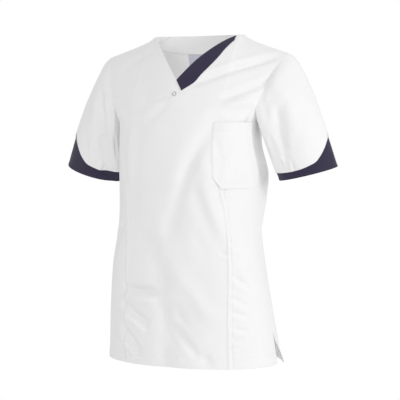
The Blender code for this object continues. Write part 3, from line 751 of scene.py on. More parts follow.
def cloth(angle, height, lift=0.0, over_seam=False):
    """A point of the dressed body: the bare body moved along its normal.

    The move is folds, creases and waves, which fade at the side seams and the shoulder, plus the sewing's
    relief and the lift. A patch that lies over the wearer's left princess seam has a soft swelling there
    instead of the sewing. Low down, the back's flap beside each slit flares out. Angles are in radians from
    the centre front, up to three quarter turns.
    """
    bare = bare_body(angle, height)
    x = bare[..., 0]
    front = np.cos(angle) >= 0
    wrapped = (angle + np.pi) % (2 * np.pi) - np.pi
    front_loose, back_loose = (
        fold_depth(folds, x, height) + crease_depth(creases, CREASE_COLUMNS, x, height)
        for folds, creases in ((FRONT_FOLDS, FRONT_CREASES), (BACK_FOLDS, BACK_CREASES))
    )
    loose = np.where(front, front_loose, back_loose) + slow_waves(WAVES, x + 0.2 * front, height)
    loose *= np.sqrt(np.abs(np.cos(angle))) * np.clip((ridge_height(x) - height) / RIDGE_MARGIN, 0, 1)
    sewing = np.where(front, front_sewing(wrapped, x, height), back_sewing(wrapped, x, height))
    if over_seam:
        from_seam = (seam_angle(1, height) - wrapped) * ARC_RADIUS
        sewing = SWELL_HEIGHT * bell((from_seam - SWELL_PLACE) / SWELL_HALF_WIDTH)
    behind_side = (np.abs(wrapped) - QUARTER_TURN) * ARC_RADIUS
    flap = rise((HEM_HEIGHT + SLIT_HEIGHT - height) / SLIT_HEIGHT)
    flap = flap * np.clip(1 - behind_side / FLAP_REACH, 0, 1) ** FLAP_POWER
    sewing = sewing + np.where(front, 0, FLAP_FLARE * flap)
    return bare + normals_of(bare_body, angle, height) * (loose + sewing + lift)[..., None]


def edge_shares():
    """Shares from a panel's middle to its edge, closer together over the last tenth."""
    near_edge = 1 - 0.1 * (1 - np.linspace(0, 1, EDGE_COLUMNS + 1)) ** 1.5
    step = 0.5 / MIDDLE_COLUMNS
    return np.concatenate([np.arange(0, 0.9 - step / 2, step), near_edge])


def lower_levels(top):
    """Heights from the hem up, closer together over the hem's fold."""
    hem = np.linspace(HEM_HEIGHT, HEM_HEIGHT + HEM_FOLD, HEM_ROWS + 1)
    return np.concatenate([hem, np.linspace(hem[-1], top, LOWER_ROWS)[1:]])


def top_edge(share, neckline):
    """Angle and height of a panel's top: the neck over the first half of the shares, then the shoulder."""
    neck_x = NECK_HALF_WIDTH * np.clip(share * 2, 0, 1)
    shoulder_x = blend(NECK_HALF_WIDTH, SHOULDER_HALF_WIDTH, np.clip(share * 2 - 1, 0, 1))
    on_neck = share <= 0.5
    x = np.where(on_neck, neck_x, shoulder_x)
    height = np.where(on_neck, neckline(neck_x), ridge_height(shoulder_x))
    return angle_at(x, height), height


def upper_part(share, edge, bottom_angle, bottom_height, neckline):
    """A panel above its bottom row: columns run straight to the top edge, and bend to the armhole's curve."""
    rows = 1 - (1 - np.linspace(0, 1, UPPER_ROWS + 1)[:, None]) ** RIDGE_CROWDING
    top_angle, top_height = top_edge(share, neckline)
    side_angle = np.radians(read(edge, ARMHOLE_COLUMNS, "share", "angle", rows))
    side_height = read(edge, ARMHOLE_COLUMNS, "share", "height", rows)
    bend_angle = side_angle - blend(side_angle[0], side_angle[-1], rows)
    bend_height = side_height - blend(side_height[0], side_height[-1], rows)
    pull = share[None, :] ** 2
    angle = blend(bottom_angle, top_angle[None, :], rows) + pull * bend_angle
    height = blend(bottom_height, top_height[None, :], rows) + pull * bend_height
    return angle, height


def joined_halves(right, left):
    """One grid from two halves that share their middle column; each half is (angle, height)."""
    angle = np.concatenate([-right[0][:, :0:-1], left[0]], axis=1)
    height = np.concatenate([right[1][:, :0:-1], left[1]], axis=1)
    return angle, height


def front_grid():
    share = edge_shares()
    level = lower_levels(PRINCESS_TOP_HEIGHT)[:-1, None]
    bottom = share[None, :] * PRINCESS_TOP_ANGLE
    upper = upper_part(share, FRONT_ARMHOLE, bottom, PRINCESS_TOP_HEIGHT, front_neckline)
    height = np.concatenate([level + 0 * bottom, upper[1]])
    return joined_halves(
        *((np.concatenate([share[None, :] * seam_angle(side, level), upper[0]]), height) for side in (-1, 1))
    )


def side_grid(side):
    """A side front from its princess seam to the side seam, with the slit's edge and rounded corner."""
    across = (0.5 - 0.5 * np.cos(np.linspace(0, np.pi, 49)))[None, :]
    level = lower_levels(PRINCESS_TOP_HEIGHT)[:, None]
    up = (level - HEM_HEIGHT) / (PRINCESS_TOP_HEIGHT - HEM_HEIGHT)
    angle = blend(seam_angle(side, level), QUARTER_TURN - slit_angle(level), across)
    top = read(UNDERARM_EDGE, UNDERARM_COLUMNS, "angle", "height", np.degrees(angle[-1]))[None, :]
    from_slit = np.clip((QUARTER_TURN - angle) * SEAM_RADIUS / SLIT_CORNER, 0, 1)
    corner = SLIT_CORNER * (1 - np.sqrt(1 - (1 - from_slit) ** 2))
    height = blend(HEM_HEIGHT, top, up) + corner * (1 - up) ** CORNER_FADE
    if side < 0:
        return -angle[:, ::-1], height[:, ::-1]
    return angle, height


def back_grid():
    share = edge_shares()
    level = lower_levels(UNDERARM_HEIGHT)[:-1, None]
    bottom = share[None, :] * QUARTER_TURN
    upper = upper_part(share, BACK_ARMHOLE, bottom, UNDERARM_HEIGHT, back_neckline)
    half = (
        np.concatenate([share[None, :] * (QUARTER_TURN - slit_angle(level)), upper[0]]),
        np.concatenate([level + 0 * bottom, upper[1]]),
    )
    angle, height = joined_halves(half, half)
    return angle + np.pi, height


def run_along(points):
    """Distance from the first of a row of points to each."""
    return np.concatenate([[0], np.cumsum(np.linalg.norm(np.diff(points, axis=0), axis=1))])


def armhole(side):
    """The wearer's armhole: shares round from the shoulder tip, its points, and points inside the cloth.

    Down the front and the side front to the underarm is the first half of the shares, up the back is the
    other half. The points inside the cloth are tucked behind the panels' edges, so that the seam is closed.
    """
    edge = np.array([1.0])
    front = upper_part(edge, FRONT_ARMHOLE, PRINCESS_TOP_ANGLE, PRINCESS_TOP_HEIGHT, front_neckline)
    back = upper_part(edge, BACK_ARMHOLE, QUARTER_TURN, UNDERARM_HEIGHT, back_neckline)
    under_angle = np.linspace(PRINCESS_TOP_ANGLE, QUARTER_TURN, 41)[1:]
    under_height = read(UNDERARM_EDGE, UNDERARM_COLUMNS, "angle", "height", np.degrees(under_angle))
    turn, mirror = (1, 1) if side == "left" else (-1, MIRROR)
    angle = turn * np.concatenate([front[0][::-1, 0], under_angle, np.pi - back[0][1:, 0]])
    height = np.concatenate([front[1][::-1, 0], under_height, back[1][1:, 0]])
    tucked = angle + turn * np.sign(np.abs(angle) - QUARTER_TURN) * ARMHOLE_TUCK / ARC_RADIUS
    points = cloth(angle, height) * mirror
    within = cloth(tucked, height - ARMHOLE_TUCK, -ARMHOLE_DEPTH) * mirror
    run = run_along(points)
    lowest = len(front[0]) + len(under_angle) - 1
    down = run[: lowest + 1] / run[lowest] / 2
    up = 0.5 + (run[lowest + 1 :] - run[lowest]) / (run[-1] - run[lowest]) / 2
    return np.concatenate([down, up]), points, within


ARMHOLES = {side: armhole(side) for side in CUFFS}


def sleeve_relief(side, around, down):
    """Relief of a sleeve: its creases, small waves, and the gathers of the cap below the armhole seam."""
    size = (SLEEVE_GIRTH, SLEEVE_LENGTH)
    creases = crease_depth(SLEEVE_CREASES[side], SLEEVE_CREASE_COLUMNS, around, down, size)
    waves = slow_waves(SLEEVE_WAVES, around, down) * np.sin(np.pi * down)
    fall = down * SLEEVE_LENGTH
    gathers = puckers(fall, around * SLEEVE_GIRTH, 0.0006, 0.012) * rise(fall / 0.003)
    return creases + waves + gathers


def armhole_point(side, around, ring):
    """Points of an armhole's ring 1, or of ring 2 inside the cloth, for shares round it."""
    shares, line = ARMHOLES[side][0], ARMHOLES[side][ring]
    return np.stack([np.interp(around, shares, line[:, axis]) for axis in range(3)], axis=-1)


def sleeve_point(side, around, down, lift=0.0):
    """A point of the sleeve, for shares round from the shoulder tip and down to the cuff.

    It is the straight blend from armhole to cuff, moved away from the sleeve's middle by the cap's bulge
    cap |cos(pi (around - centre))|^power sin(pi down^quickness), which a cubic eases in near the armhole,
    less one soft fold, plus the relief.
    """
    around, down = np.broadcast_arrays(around, down)
    turned = around % 1
    root = armhole_point(side, turned, 1)
    cuff = CUFFS[side]
    outer, inner, front = (np.array(cuff[name]) for name in ("outer_end", "inner_end", "front_half_axis"))
    turn = 2 * np.pi * around[..., None]
    end = (outer + inner) / 2 + (outer - inner) / 2 * np.cos(turn) + front * np.sin(turn)
    fall = down[..., None]
    plain = blend(root, end, fall)
    outward = plain - blend(np.array(SLEEVE_TOP_MIDDLE), np.array(CUFF_MIDDLES[side]), fall)
    outward /= np.linalg.norm(outward, axis=-1, keepdims=True)
    cap = CAP_BULGE * np.abs(np.cos(np.pi * (around - CAP_CENTRE))) ** CAP_POWER
    bow = np.sin(np.pi * np.clip(down, CAP_START, 1) ** CAP_QUICKNESS)
    start = np.clip(down / CAP_START, 0, 1)
    ease = sum(factor * start**power for power, factor in enumerate(CAP_EASE, 1))
    bow = np.where(down < CAP_START, bow * ease, bow)
    fold = SLEEVE_FOLD_DEPTH * bell((turned - SLEEVE_FOLD_PLACE) / SLEEVE_FOLD_WIDTH) * np.sin(np.pi * down)
    move = cap * bow - fold + sleeve_relief(side, turned, down) + lift
    return plain + outward * move[..., None]


def sleeve_edge(side, around):
    """For places round the sleeve, the length down to the cuff and how far above it the white cloth ends."""
    girth = run_along(sleeve_point(side, np.linspace(0, 1, RING_POINTS), 1.0))[-1]
    from_peak = around - CUFFS[side]["peak_shift"] / girth
    beside = np.abs((from_peak + 0.5) % 1 - 0.5) * girth
    above = read(SLEEVE_EDGE, SLEEVE_EDGE_COLUMNS, "around", "above", beside) + CUFFS[side]["edge_lift"]
    root, end = sleeve_point(side, around, 0 * around), sleeve_point(side, around, 0 * around + 1)
    return np.linalg.norm(end - root, axis=-1), above


def node_group(name, inputs, outputs):
    """A shader node group with its input and output sockets; inputs are (name, kind, value)."""
    group = bpy.data.node_groups.new(name, "ShaderNodeTree")
    for label, kind, value in inputs:
        socket = group.interface.new_socket(name=label, in_out="INPUT", socket_type="NodeSocket" + kind)
        if value is not None:
            socket.default_value = value
    for label, kind in outputs:
        group.interface.new_socket(name=label, in_out="OUTPUT", socket_type="NodeSocket" + kind)
    return group


def math_node(tree, operation, first, second=None):
    """A Math node whose inputs are sockets or numbers; gives its output socket."""
    node = tree.nodes.new("ShaderNodeMath")
    node.operation = operation
    for socket, value in zip(node.inputs, (first, second)):
        if isinstance(value, bpy.types.NodeSocket):
            tree.links.new(value, socket)
        elif value is not None:
            socket.default_value = value
    return node.outputs[0]


def noise_node(tree, place, scale, detail):
    node = tree.nodes.new("ShaderNodeTexNoise")
    node.inputs["Scale"].default_value = scale
    node.inputs["Detail"].default_value = detail
    tree.links.new(place, node.inputs["Vector"])
    return node.outputs["Fac"]


def make_weave_group():
    """Plain weave: height is sin(pi u n) sin(pi v n) with uneven yarns. The colour is painted darker as shade
    where the weave lies low, and also drifts at random over the cloth.
    """
    group = node_group(
        "plain_weave",
        (
            ("Place", "Vector", None),
            ("Body Place", "Vector", None),
            ("Threads per Metre", "Float", 2600.0),
            ("Yarn Colour", "Color", (1, 1, 1, 1)),
            ("Painted Shade Colour", "Color", (0.9, 0.9, 0.9, 1)),
            ("Roughness", "Float", 0.8),
        ),
        (("Colour", "Color"), ("Height", "Float"), ("Roughness", "Float")),
    )
    source, out = group.nodes.new("NodeGroupInput"), group.nodes.new("NodeGroupOutput")
    split = group.nodes.new("ShaderNodeSeparateXYZ")
    group.links.new(source.outputs["Place"], split.inputs[0])
    pace = math_node(group, "MULTIPLY", source.outputs["Threads per Metre"], np.pi)
    across = math_node(group, "SINE", math_node(group, "MULTIPLY", split.outputs["X"], pace))
    upward = math_node(group, "SINE", math_node(group, "MULTIPLY", split.outputs["Y"], pace))
    knuckle = math_node(group, "MULTIPLY", across, upward)
    yarn = noise_node(group, source.outputs["Place"], 900.0, 2.0)
    height = math_node(group, "ADD", math_node(group, "MULTIPLY", knuckle, 0.5), yarn)
    drift = noise_node(group, source.outputs["Body Place"], 14.0, 3.0)
    # Painted shade: the lower the weave, the more of the darker colour
    painted_shade = math_node(group, "MULTIPLY", math_node(group, "SUBTRACT", 1.1, height), 0.3)
    amount = math_node(group, "ADD", painted_shade, math_node(group, "MULTIPLY", drift, 0.5))
    mix = group.nodes.new("ShaderNodeMix")
    mix.data_type = "RGBA"
    group.links.new(amount, mix.inputs["Factor"])
    group.links.new(source.outputs["Yarn Colour"], mix.inputs[6])
    group.links.new(source.outputs["Painted Shade Colour"], mix.inputs[7])
    spread = math_node(group, "MULTIPLY", math_node(group, "SUBTRACT", drift, 0.5), 0.12)
    roughness = math_node(group, "ADD", source.outputs["Roughness"], spread)
    group.links.new(mix.outputs[2], out.inputs["Colour"])
    group.links.new(height, out.inputs["Height"])
    group.links.new(roughness, out.inputs["Roughness"])
    return group


def shaded_material(name, fixed):
    """A material with its Principled shader, whose even values are set on its own sockets."""
    material = bpy.data.materials.new(name)
    material.use_nodes = True
    tree = material.node_tree
    shader = tree.nodes["Principled BSDF"]
    for socket, value in fixed.items():
        shader.inputs[socket].default_value = value
    return material, tree, shader


def bump(tree, shader, height, strength, distance):
    node = tree.nodes.new("ShaderNodeBump")
    node.inputs["Strength"].default_value = strength
    node.inputs["Distance"].default_value = distance
    tree.links.new(height, node.inputs["Height"])
    tree.links.new(node.outputs[0], shader.inputs["Normal"])


def woven_material(weave, name, yarn, painted_shade, threads, roughness, sheen):
    """A woven cloth on the piece's own UV map, which runs in metres."""
    material, tree, shader = shaded_material(
        name, {"Sheen Weight": sheen, "Sheen Roughness": 0.45, "Specular IOR Level": 0.25}
    )
    group = tree.nodes.new("ShaderNodeGroup")
    group.node_tree = weave
    place = tree.nodes.new("ShaderNodeUVMap")
    place.uv_map = "cloth"
    body = tree.nodes.new("ShaderNodeTexCoord")
    tree.links.new(place.outputs[0], group.inputs["Place"])
    tree.links.new(body.outputs["Object"], group.inputs["Body Place"])
    group.inputs["Threads per Metre"].default_value = threads
    group.inputs["Yarn Colour"].default_value = yarn
    # The darker colour is painted shade in the weave's low points; the random drift over the cloth also leans
    # towards it
    group.inputs["Painted Shade Colour"].default_value = painted_shade
    group.inputs["Roughness"].default_value = roughness
    tree.links.new(group.outputs["Colour"], shader.inputs["Base Color"])
    tree.links.new(group.outputs["Roughness"], shader.inputs["Roughness"])
    bump(tree, shader, group.outputs["Height"], 0.35, 0.00012)
    material.diffuse_color = yarn
    return material


def grained_material(name, light, dark, scale, roughness, depth, fixed):
    """A finish whose colour and roughness follow a fine grain on object coordinates."""
    material, tree, shader = shaded_material(name, fixed)
    body = tree.nodes.new("ShaderNodeTexCoord")
    grain = noise_node(tree, body.outputs["Object"], scale, 3.0)
    ramp = tree.nodes.new("ShaderNodeValToRGB")
    ramp.color_ramp.elements[0].color = dark
    ramp.color_ramp.elements[1].color = light
    tree.links.new(grain, ramp.inputs[0])
    tree.links.new(ramp.outputs[0], shader.inputs["Base Color"])
    spread = math_node(tree, "MULTIPLY", grain, 0.15)
    tree.links.new(math_node(tree, "ADD", spread, roughness), shader.inputs["Roughness"])
    bump(tree, shader, grain, 0.3, depth)
    material.diffuse_color = light
    return material


def make_materials():
    weave = make_weave_group()
    woven = {key: woven_material(weave, *look) for key, look in WOVEN.items()}
    return woven | {key: grained_material(*look) for key, look in GRAINED.items()}


def new_object(name, points, faces, material):
    mesh = bpy.data.meshes.new(name)
    mesh.from_pydata(points.reshape(-1, 3).tolist(), [], faces)
    mesh.shade_smooth()
    mesh.materials.append(material)
    piece = bpy.data.objects.new(name, mesh)
    bpy.context.scene.collection.objects.link(piece)
    return piece


def quads(rows, columns):
    """Corner numbers of the quads of a grid, in the order that faces outwards."""
    index = np.arange(rows * columns).reshape(rows, columns)
    return np.stack([index[:-1, :-1], index[:-1, 1:], index[1:, 1:], index[1:, :-1]], axis=-1).reshape(-1, 4)


def shell(name, points, thickness, material, closed=False):
    """A sheet of quads through a grid of points, with its thickness inwards.

    The UV map runs in metres: along each row from the middle column, and up each column from the first row.
    Weighted normals keep the shading of the wide faces even beside the narrow rim.
    """
    rows, columns = points.shape[:2]
    wide = np.concatenate([points, points[:, :1]], axis=1) if closed else points
    corners = quads(rows, wide.shape[1])
    number = np.arange(rows * columns).reshape(rows, columns)
    if closed:
        number = np.concatenate([number, number[:, :1]], axis=1)
    piece = new_object(name, points, number.ravel()[corners].tolist(), material)
    across = np.cumsum(np.linalg.norm(np.diff(wide, axis=1, prepend=wide[:, :1]), axis=-1), axis=1)
    across -= across[:, wide.shape[1] // 2, None]
    upward = np.cumsum(np.linalg.norm(np.diff(wide, axis=0, prepend=wide[:1]), axis=-1), axis=0)
    place = np.stack([across, upward], axis=-1).reshape(-1, 2)
    layer = piece.data.uv_layers.new(name="cloth")
    layer.data.foreach_set("uv", place[corners.ravel()].ravel())
    solid = piece.modifiers.new("thickness", "SOLIDIFY")
    solid.thickness = thickness
    solid.offset = -1
    even = piece.modifiers.new("even_shading", "WEIGHTED_NORMAL")
    even.weight = 100
    return piece


def settle(piece, node):
    """Hangs a cloth piece on the root and hides the imported part that it stands for."""
    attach(piece, "root")
    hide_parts(node)


def stitches(name, rows, material):
    """Every stitch of a piece: a bead pointed at both ends, sunk by a third of its height in the cloth.

    rows are (points, normals) along each row. A bead has two rings of six between its tips, as a profile
    carried along the row.
    """
    number = np.arange(STITCH_SIDES)
    after = (number + 1) % STITCH_SIDES
    turn = number * 2 * np.pi / STITCH_SIDES
    half = STITCH_LENGTH / 2
    sides, ups = np.cos(turn) * STITCH_RADIUS, (np.sin(turn) * 0.8 + 0.25) * STITCH_RADIUS
    rings = [np.stack([0 * turn + end * half * 0.55, sides, ups], axis=-1) for end in (-1, 1)]
    bead = np.concatenate([[[-half, 0, 0]], *rings, [[half, 0, 0]]])
    near, far = 1 + number, 1 + STITCH_SIDES + number
    near_after, far_after = 1 + after, 1 + STITCH_SIDES + after
    middle = np.stack([near, near_after, far_after, far], axis=-1)
    first_tip = np.stack([0 * number, near_after, near], axis=-1)
    last_tip = np.stack([0 * number + len(bead) - 1, far, far_after], axis=-1)
    places = []
    for points, normals in rows:
        run = run_along(points)
        at = np.arange(STITCH_PITCH / 2, run[-1] - half, STITCH_PITCH)
        start, centre, end = (
            np.stack([np.interp(at + shift, run, points[:, axis]) for axis in range(3)], axis=-1)
            for shift in (-half, 0, half)
        )
        up = np.stack([np.interp(at, run, normals[:, axis]) for axis in range(3)], axis=-1)
        ahead = end - start
        ahead /= np.linalg.norm(ahead, axis=1, keepdims=True)
        side = np.cross(up, ahead)
        side /= np.linalg.norm(side, axis=1, keepdims=True)
        up = np.cross(ahead, side)
        axes = np.stack([ahead, side, up], axis=1)
        places.append(centre[:, None, :] + np.einsum("pk,nkj->npj", bead, axes))
    points = np.concatenate(places)
    first = np.arange(len(points))[:, None, None] * len(bead)
    faces = (middle + first).reshape(-1, 4).tolist()
    faces += (np.concatenate([first_tip, last_tip]) + first).reshape(-1, 3).tolist()
    piece = new_object(name, points, faces, material)
    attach(piece, "root")


def body_row(angle, height, lift=0.0, over_seam=False):
    """A row of stitches on the body: its points and normals."""
    angle, height = np.broadcast_arrays(angle, height)
    return cloth(angle, height, lift, over_seam), normals_of(bare_body, angle, height)


def sleeve_row(side, around, down, lift=0.0):
    """A row of stitches on a sleeve: its points and its outward directions."""
    around, down = np.broadcast_arrays(around, down)
    points = sleeve_point(side, around, down, lift)
    away = sleeve_point(side, around, down, lift + 0.001) - points
    away /= np.linalg.norm(away, axis=-1, keepdims=True)
    if side == "right":
        points, away = points * MIRROR, away * MIRROR
    return points, away


def slit_rows(side, turn, start):
    """Rows beside a slit's edge and across its top; turn is -1 on the front and 1 on the back."""
    height = np.linspace(HEM_HEIGHT + start, HEM_HEIGHT + SLIT_HEIGHT, 60)
    edge = QUARTER_TURN + turn * (slit_angle(height) + SLIT_ROW / ARC_RADIUS)
    across = QUARTER_TURN + turn * np.linspace(SLIT_ROW, 0.0002, 12) / ARC_RADIUS
    return [body_row(side * edge, height), body_row(side * across, HEM_HEIGHT + SLIT_HEIGHT + 0.001)]


def hem_row(middle):
    reach = QUARTER_TURN - HEM_ROW_REST
    return body_row(middle + np.linspace(-reach, reach, 500), HEM_HEIGHT + HEM_ROW)


def band_edge(inner_x):
    """The neck band's outer edge, as x and height, for points along the V's edge."""
    return (read(NECK_BAND, NECK_BAND_COLUMNS, "inner_x", name, inner_x) for name in NECK_BAND_COLUMNS[1:])


def front_stitch_rows():
    rows = []
    height = np.linspace(HEM_HEIGHT + ROW_END, PRINCESS_TOP_HEIGHT - ROW_END, 400)
    for side in (1, -1):
        for place in LAP_ROWS:
            rows.append(body_row(side * (seam_angle(side, height) - place / ARC_RADIUS), height))
        rows += slit_rows(side, -1, FRONT_SLIT_START)
    rows.append(hem_row(0.0))
    x = np.linspace(-NECK_HALF_WIDTH + NECK_ROW_END, -0.003, 160)
    slope = slope_at(front_neckline, x)
    square = np.sqrt(1 + slope**2)
    inside_x = x + NECK_ROW * slope / square
    rows.append(body_row(angle_at(inside_x, V_HEIGHT + 0 * x), front_neckline(x) - NECK_ROW / square))
    outer_x, outer_height = band_edge(np.linspace(0.0, NECK_BAND[-1][0] - NECK_ROW_END, 160))
    run_x, run_height = np.gradient(outer_x), np.gradient(outer_height)
    length = np.hypot(run_x, run_height)
    beside_x = outer_x + BAND_OUTSIDE_ROW * run_height / length
    beside_height = outer_height - BAND_OUTSIDE_ROW * run_x / length
    rows.append(body_row(angle_at(beside_x, beside_height), beside_height))
    tack = BAR_TACK_HEIGHT + np.linspace(-0.5, 0.5, 8) * BAR_TACK_LENGTH
    for tack_x in BAR_TACK_X:
        for beside in (-0.0005, 0.0, 0.0005):
            rows.append(body_row(angle_at(tack_x + beside, tack), tack))
    return rows


def back_stitch_rows():
    rows = [hem_row(np.pi)]
    for side in (1, -1):
        rows += slit_rows(side, 1, ROW_END)
        x = side * np.linspace(NECK_HALF_WIDTH + 0.001, SHOULDER_HALF_WIDTH - ROW_END, 120)
        height = ridge_height(x) - SHOULDER_ROW
        rows.append(body_row(np.pi - angle_at(x, height), height))
    x = np.linspace(-1, 1, 200) * (NECK_HALF_WIDTH - NECK_ROW_END)
    height = back_neckline(x) - BACK_NECK_ROW
    rows.append(body_row(np.pi - angle_at(x, height), height))
    return rows


def pocket_places(share, up):
    """Angle and height on the pocket for shares across and up; its lower corners are cut off."""
    cut = POCKET_CORNER_HEIGHT * np.clip(1 - np.minimum(share, 1 - share) / POCKET_CORNER_SHARE, 0, 1)
    height = blend(POCKET_BOTTOM_HEIGHT + cut, POCKET_TOP_HEIGHT, up)
    outer = np.radians(blend(POCKET_LOW_ANGLE, POCKET_TOP_ANGLE, up))
    return blend(angle_at(POCKET_INNER_X, height), outer, share), height


def pocket_lift(share, up):
    """How far the pocket's face stands off the front.

    It lies close at its sewn sides and bottom, and its middle and mouth stand off by up to 0.9 mm more. Its
    edges are as thick as two layers and rounded, and each row of stitches makes a dent.
    """
    from_side = np.minimum(share, 1 - share) * POCKET_WIDTH
    from_bottom, from_top = up * POCKET_LENGTH, (1 - up) * POCKET_LENGTH
    from_sewn = np.minimum(from_side, from_bottom)
    stand = POCKET_STAND * (1 + rise(from_side / 0.030) * rise(from_bottom / 0.040))
    turned = 0.0003 * rise((POCKET_ALLOWANCE - from_sewn) / 0.0015) + sewn_line(from_sewn - POCKET_ROW)
    sag = 0.0005 * bell((share - 0.30 - 0.35 * up) / 0.10) * np.sin(np.pi * up)
    hem = turned_edge(from_top, POCKET_HEM_ROW)
    return stand + turned + hem - sag - rounded_edge(np.minimum(from_sewn, from_top))


def make_body(materials):
    white = materials["white"]
    front = shell("front_centre_cloth", cloth(*front_grid()), SHELL, white)
    settle(front, "front_centre")
    for side, name, area in ((1, "left", 0.0534), (-1, "right", 0.0586)):
        panel = shell("side_front_" + name + "_cloth", cloth(*side_grid(side)), SHELL, white)
        settle(panel, "side_front_" + name)
    back = shell("back_cloth", cloth(*back_grid()), SHELL, white)
    settle(back, "back")
    stitches("front_stitches", front_stitch_rows(), materials["white_thread"])
    stitches("back_stitches", back_stitch_rows(), materials["white_thread"])


def make_sleeves(materials):
    around = np.arange(SLEEVE_COLUMNS)[None, :] / SLEEVE_COLUMNS
    fall = np.linspace(0, 1, SLEEVE_ROWS + 1)[:, None]
    fall = 0.5 * fall + 0.25 * (1 - np.cos(np.pi * fall))
    band_fall = np.linspace(0, 1, BAND_ROWS + 1)[:, None]
    ring = np.linspace(0, 1, RING_POINTS)
    white_rows, navy_rows = [], []
    for side, areas in (("left", (0.0633, 0.0137)), ("right", (0.0615, 0.0163))):
        length, above = sleeve_edge(side, around)
        white_down = 1 - above / length
        down = fall * white_down
        from_edge = (white_down - down) * length
        points = sleeve_point(side, around, down, turned_edge(from_edge, SLEEVE_ROW, around * CUFF_GIRTH))
        beside = sleeve_point(side, around, 0 * around + ARMHOLE_TUCK)
        points = np.concatenate([armhole_point(side, around, 2), points[:1], beside, points[1:]])
        band_down = blend(1 - (above + BAND_UNDERLAP) / length, 1, band_fall)
        hem = turned_edge((1 - band_down) * length, BAND_HEM_ROW) - BAND_OFFSET
        band = sleeve_point(side, around, band_down, hem)
        if side == "right":
            points, band = points * MIRROR, band * MIRROR
        else:
            points, band = points[:, ::-1], band[:, ::-1]
        sleeve = shell("sleeve_" + side + "_cloth", points[::-1], SHELL, materials["white"], closed=True)
        settle(
            sleeve, "sleeve_" + side
        )
        name = "sleeve_band_" + side
        under = shell(name + "_cloth", band[::-1], TRIM_SHELL, materials["navy"], closed=True)
        settle(under, name)
        length, above = sleeve_edge(side, ring)
        white_rows.append(sleeve_row(side, ring, 1 - (above + SLEEVE_ROW) / length, ROW_LIFT))
        navy_rows.append(sleeve_row(side, ring, 1 - BAND_HEM_ROW / length, ROW_LIFT - BAND_OFFSET))
    stitches("sleeve_stitches", white_rows, materials["white_thread"])
    stitches("band_stitches", navy_rows, materials["navy_thread"])


def facing_edge(share):
    """Height of the facing's lower edge, for shares from its middle to its end."""
    return blend(BACK_NECK_HEIGHT - FACING_DEPTH, FACING_END_HEIGHT, np.abs(share) ** FACING_CURVE)


def make_neck(materials):
    across = np.linspace(0, 1, 17)[:, None]
    inner_x = NECK_BAND[-1][0] * np.linspace(0, 1, 111)[None, :]
    outer_x, outer_height = band_edge(inner_x)
    x = blend(outer_x, inner_x, across)
    height = blend(outer_height, front_neckline(inner_x), across)
    width = np.hypot(outer_x - inner_x, outer_height - front_neckline(inner_x))
    lift = NECK_BAND_LIFT - rounded_edge(np.minimum(across, 1 - across) * width)
    band = shell("neck_band_cloth", cloth(angle_at(x, height), height, lift), TRIM_SHELL, materials["navy"])
    settle(band, "neck_band")

    share = np.linspace(-1, 1, 97)[None, :]
    x = blend(FACING_TOP_HALF_WIDTH, FACING_LOW_HALF_WIDTH, across[::-1]) * share
    height = blend(back_neckline(FACING_TOP_HALF_WIDTH * share), facing_edge(share), across[::-1])
    points = cloth(np.pi - angle_at(x, height)[:, ::-1], height[:, ::-1], -FACING_OFFSET)
    facing = shell("facing_cloth", points, TRIM_SHELL, materials["white"])
    settle(facing, "back_neck_facing")

    top = BACK_NECK_HEIGHT - FACING_DEPTH + LABEL_OVERLAP
    bottom = BACK_NECK_HEIGHT - FACING_DEPTH - LABEL_GAP - LABEL_HEIGHT
    x, height = np.broadcast_arrays(
        np.linspace(LABEL_LEFT_X, LABEL_RIGHT_X, 33)[None, :], np.linspace(bottom, top, 21)[:, None]
    )
    curl = LABEL_CURL * rise((top - 0.008 - height) / LABEL_HEIGHT)
    curl = curl * (0.6 + 0.4 * np.cos(2 * np.pi * (x + 0.02) / 0.09))
    points = cloth(np.pi - angle_at(x, height), height, -curl - LABEL_OFFSET)
    label = shell("label_cloth", points, LABEL_SHELL, materials["label"])
    settle(label, "label")

    x = np.linspace(-0.125, 0.125, 200)
    height = facing_edge(x / FACING_LOW_HALF_WIDTH) + FACING_ROW
    points, normals = body_row(np.pi - angle_at(x, height), height, -FACING_OFFSET - TRIM_SHELL)
    stitches("facing_stitches", [(points, -normals)], materials["white_thread"])


def make_pocket(materials):
    inner = np.linspace(POCKET_CORNER_SHARE, 1 - POCKET_CORNER_SHARE, 61)
    side = np.linspace(0, 1, 13) ** 1.3 * POCKET_CORNER_SHARE
    share = np.concatenate([side[:-1], inner, 1 - side[-2::-1]])[None, :]
    up = np.linspace(0, 1, 97)[:, None]
    up = 0.55 * up + 0.225 * (1 - np.cos(np.pi * up))

    def face(share, up):
        return (*pocket_places(share, up), pocket_lift(share, up), True)

    pocket = shell("chest_pocket_cloth", cloth(*face(share, up)), POCKET_SHELL, materials["white"])
    settle(pocket, "chest_pocket")
    margin, low = POCKET_ROW / POCKET_WIDTH, POCKET_ROW / POCKET_LENGTH
    hem = 1 - POCKET_HEM_ROW / POCKET_LENGTH
    run = np.linspace(0, 1, 120)
    paths = (
        (margin + 0 * run, blend(POCKET_ROW_TOP, low, run)),
        (blend(margin, 1 - margin, run), low + 0 * run),
        (1 - margin + 0 * run, blend(low, POCKET_ROW_TOP, run)),
        (blend(margin, 1 - margin, run), hem + 0 * run),
    )
    rows = [body_row(*face(*path)) for path in paths]
    stitches("pocket_stitches", rows, materials["white_thread"])


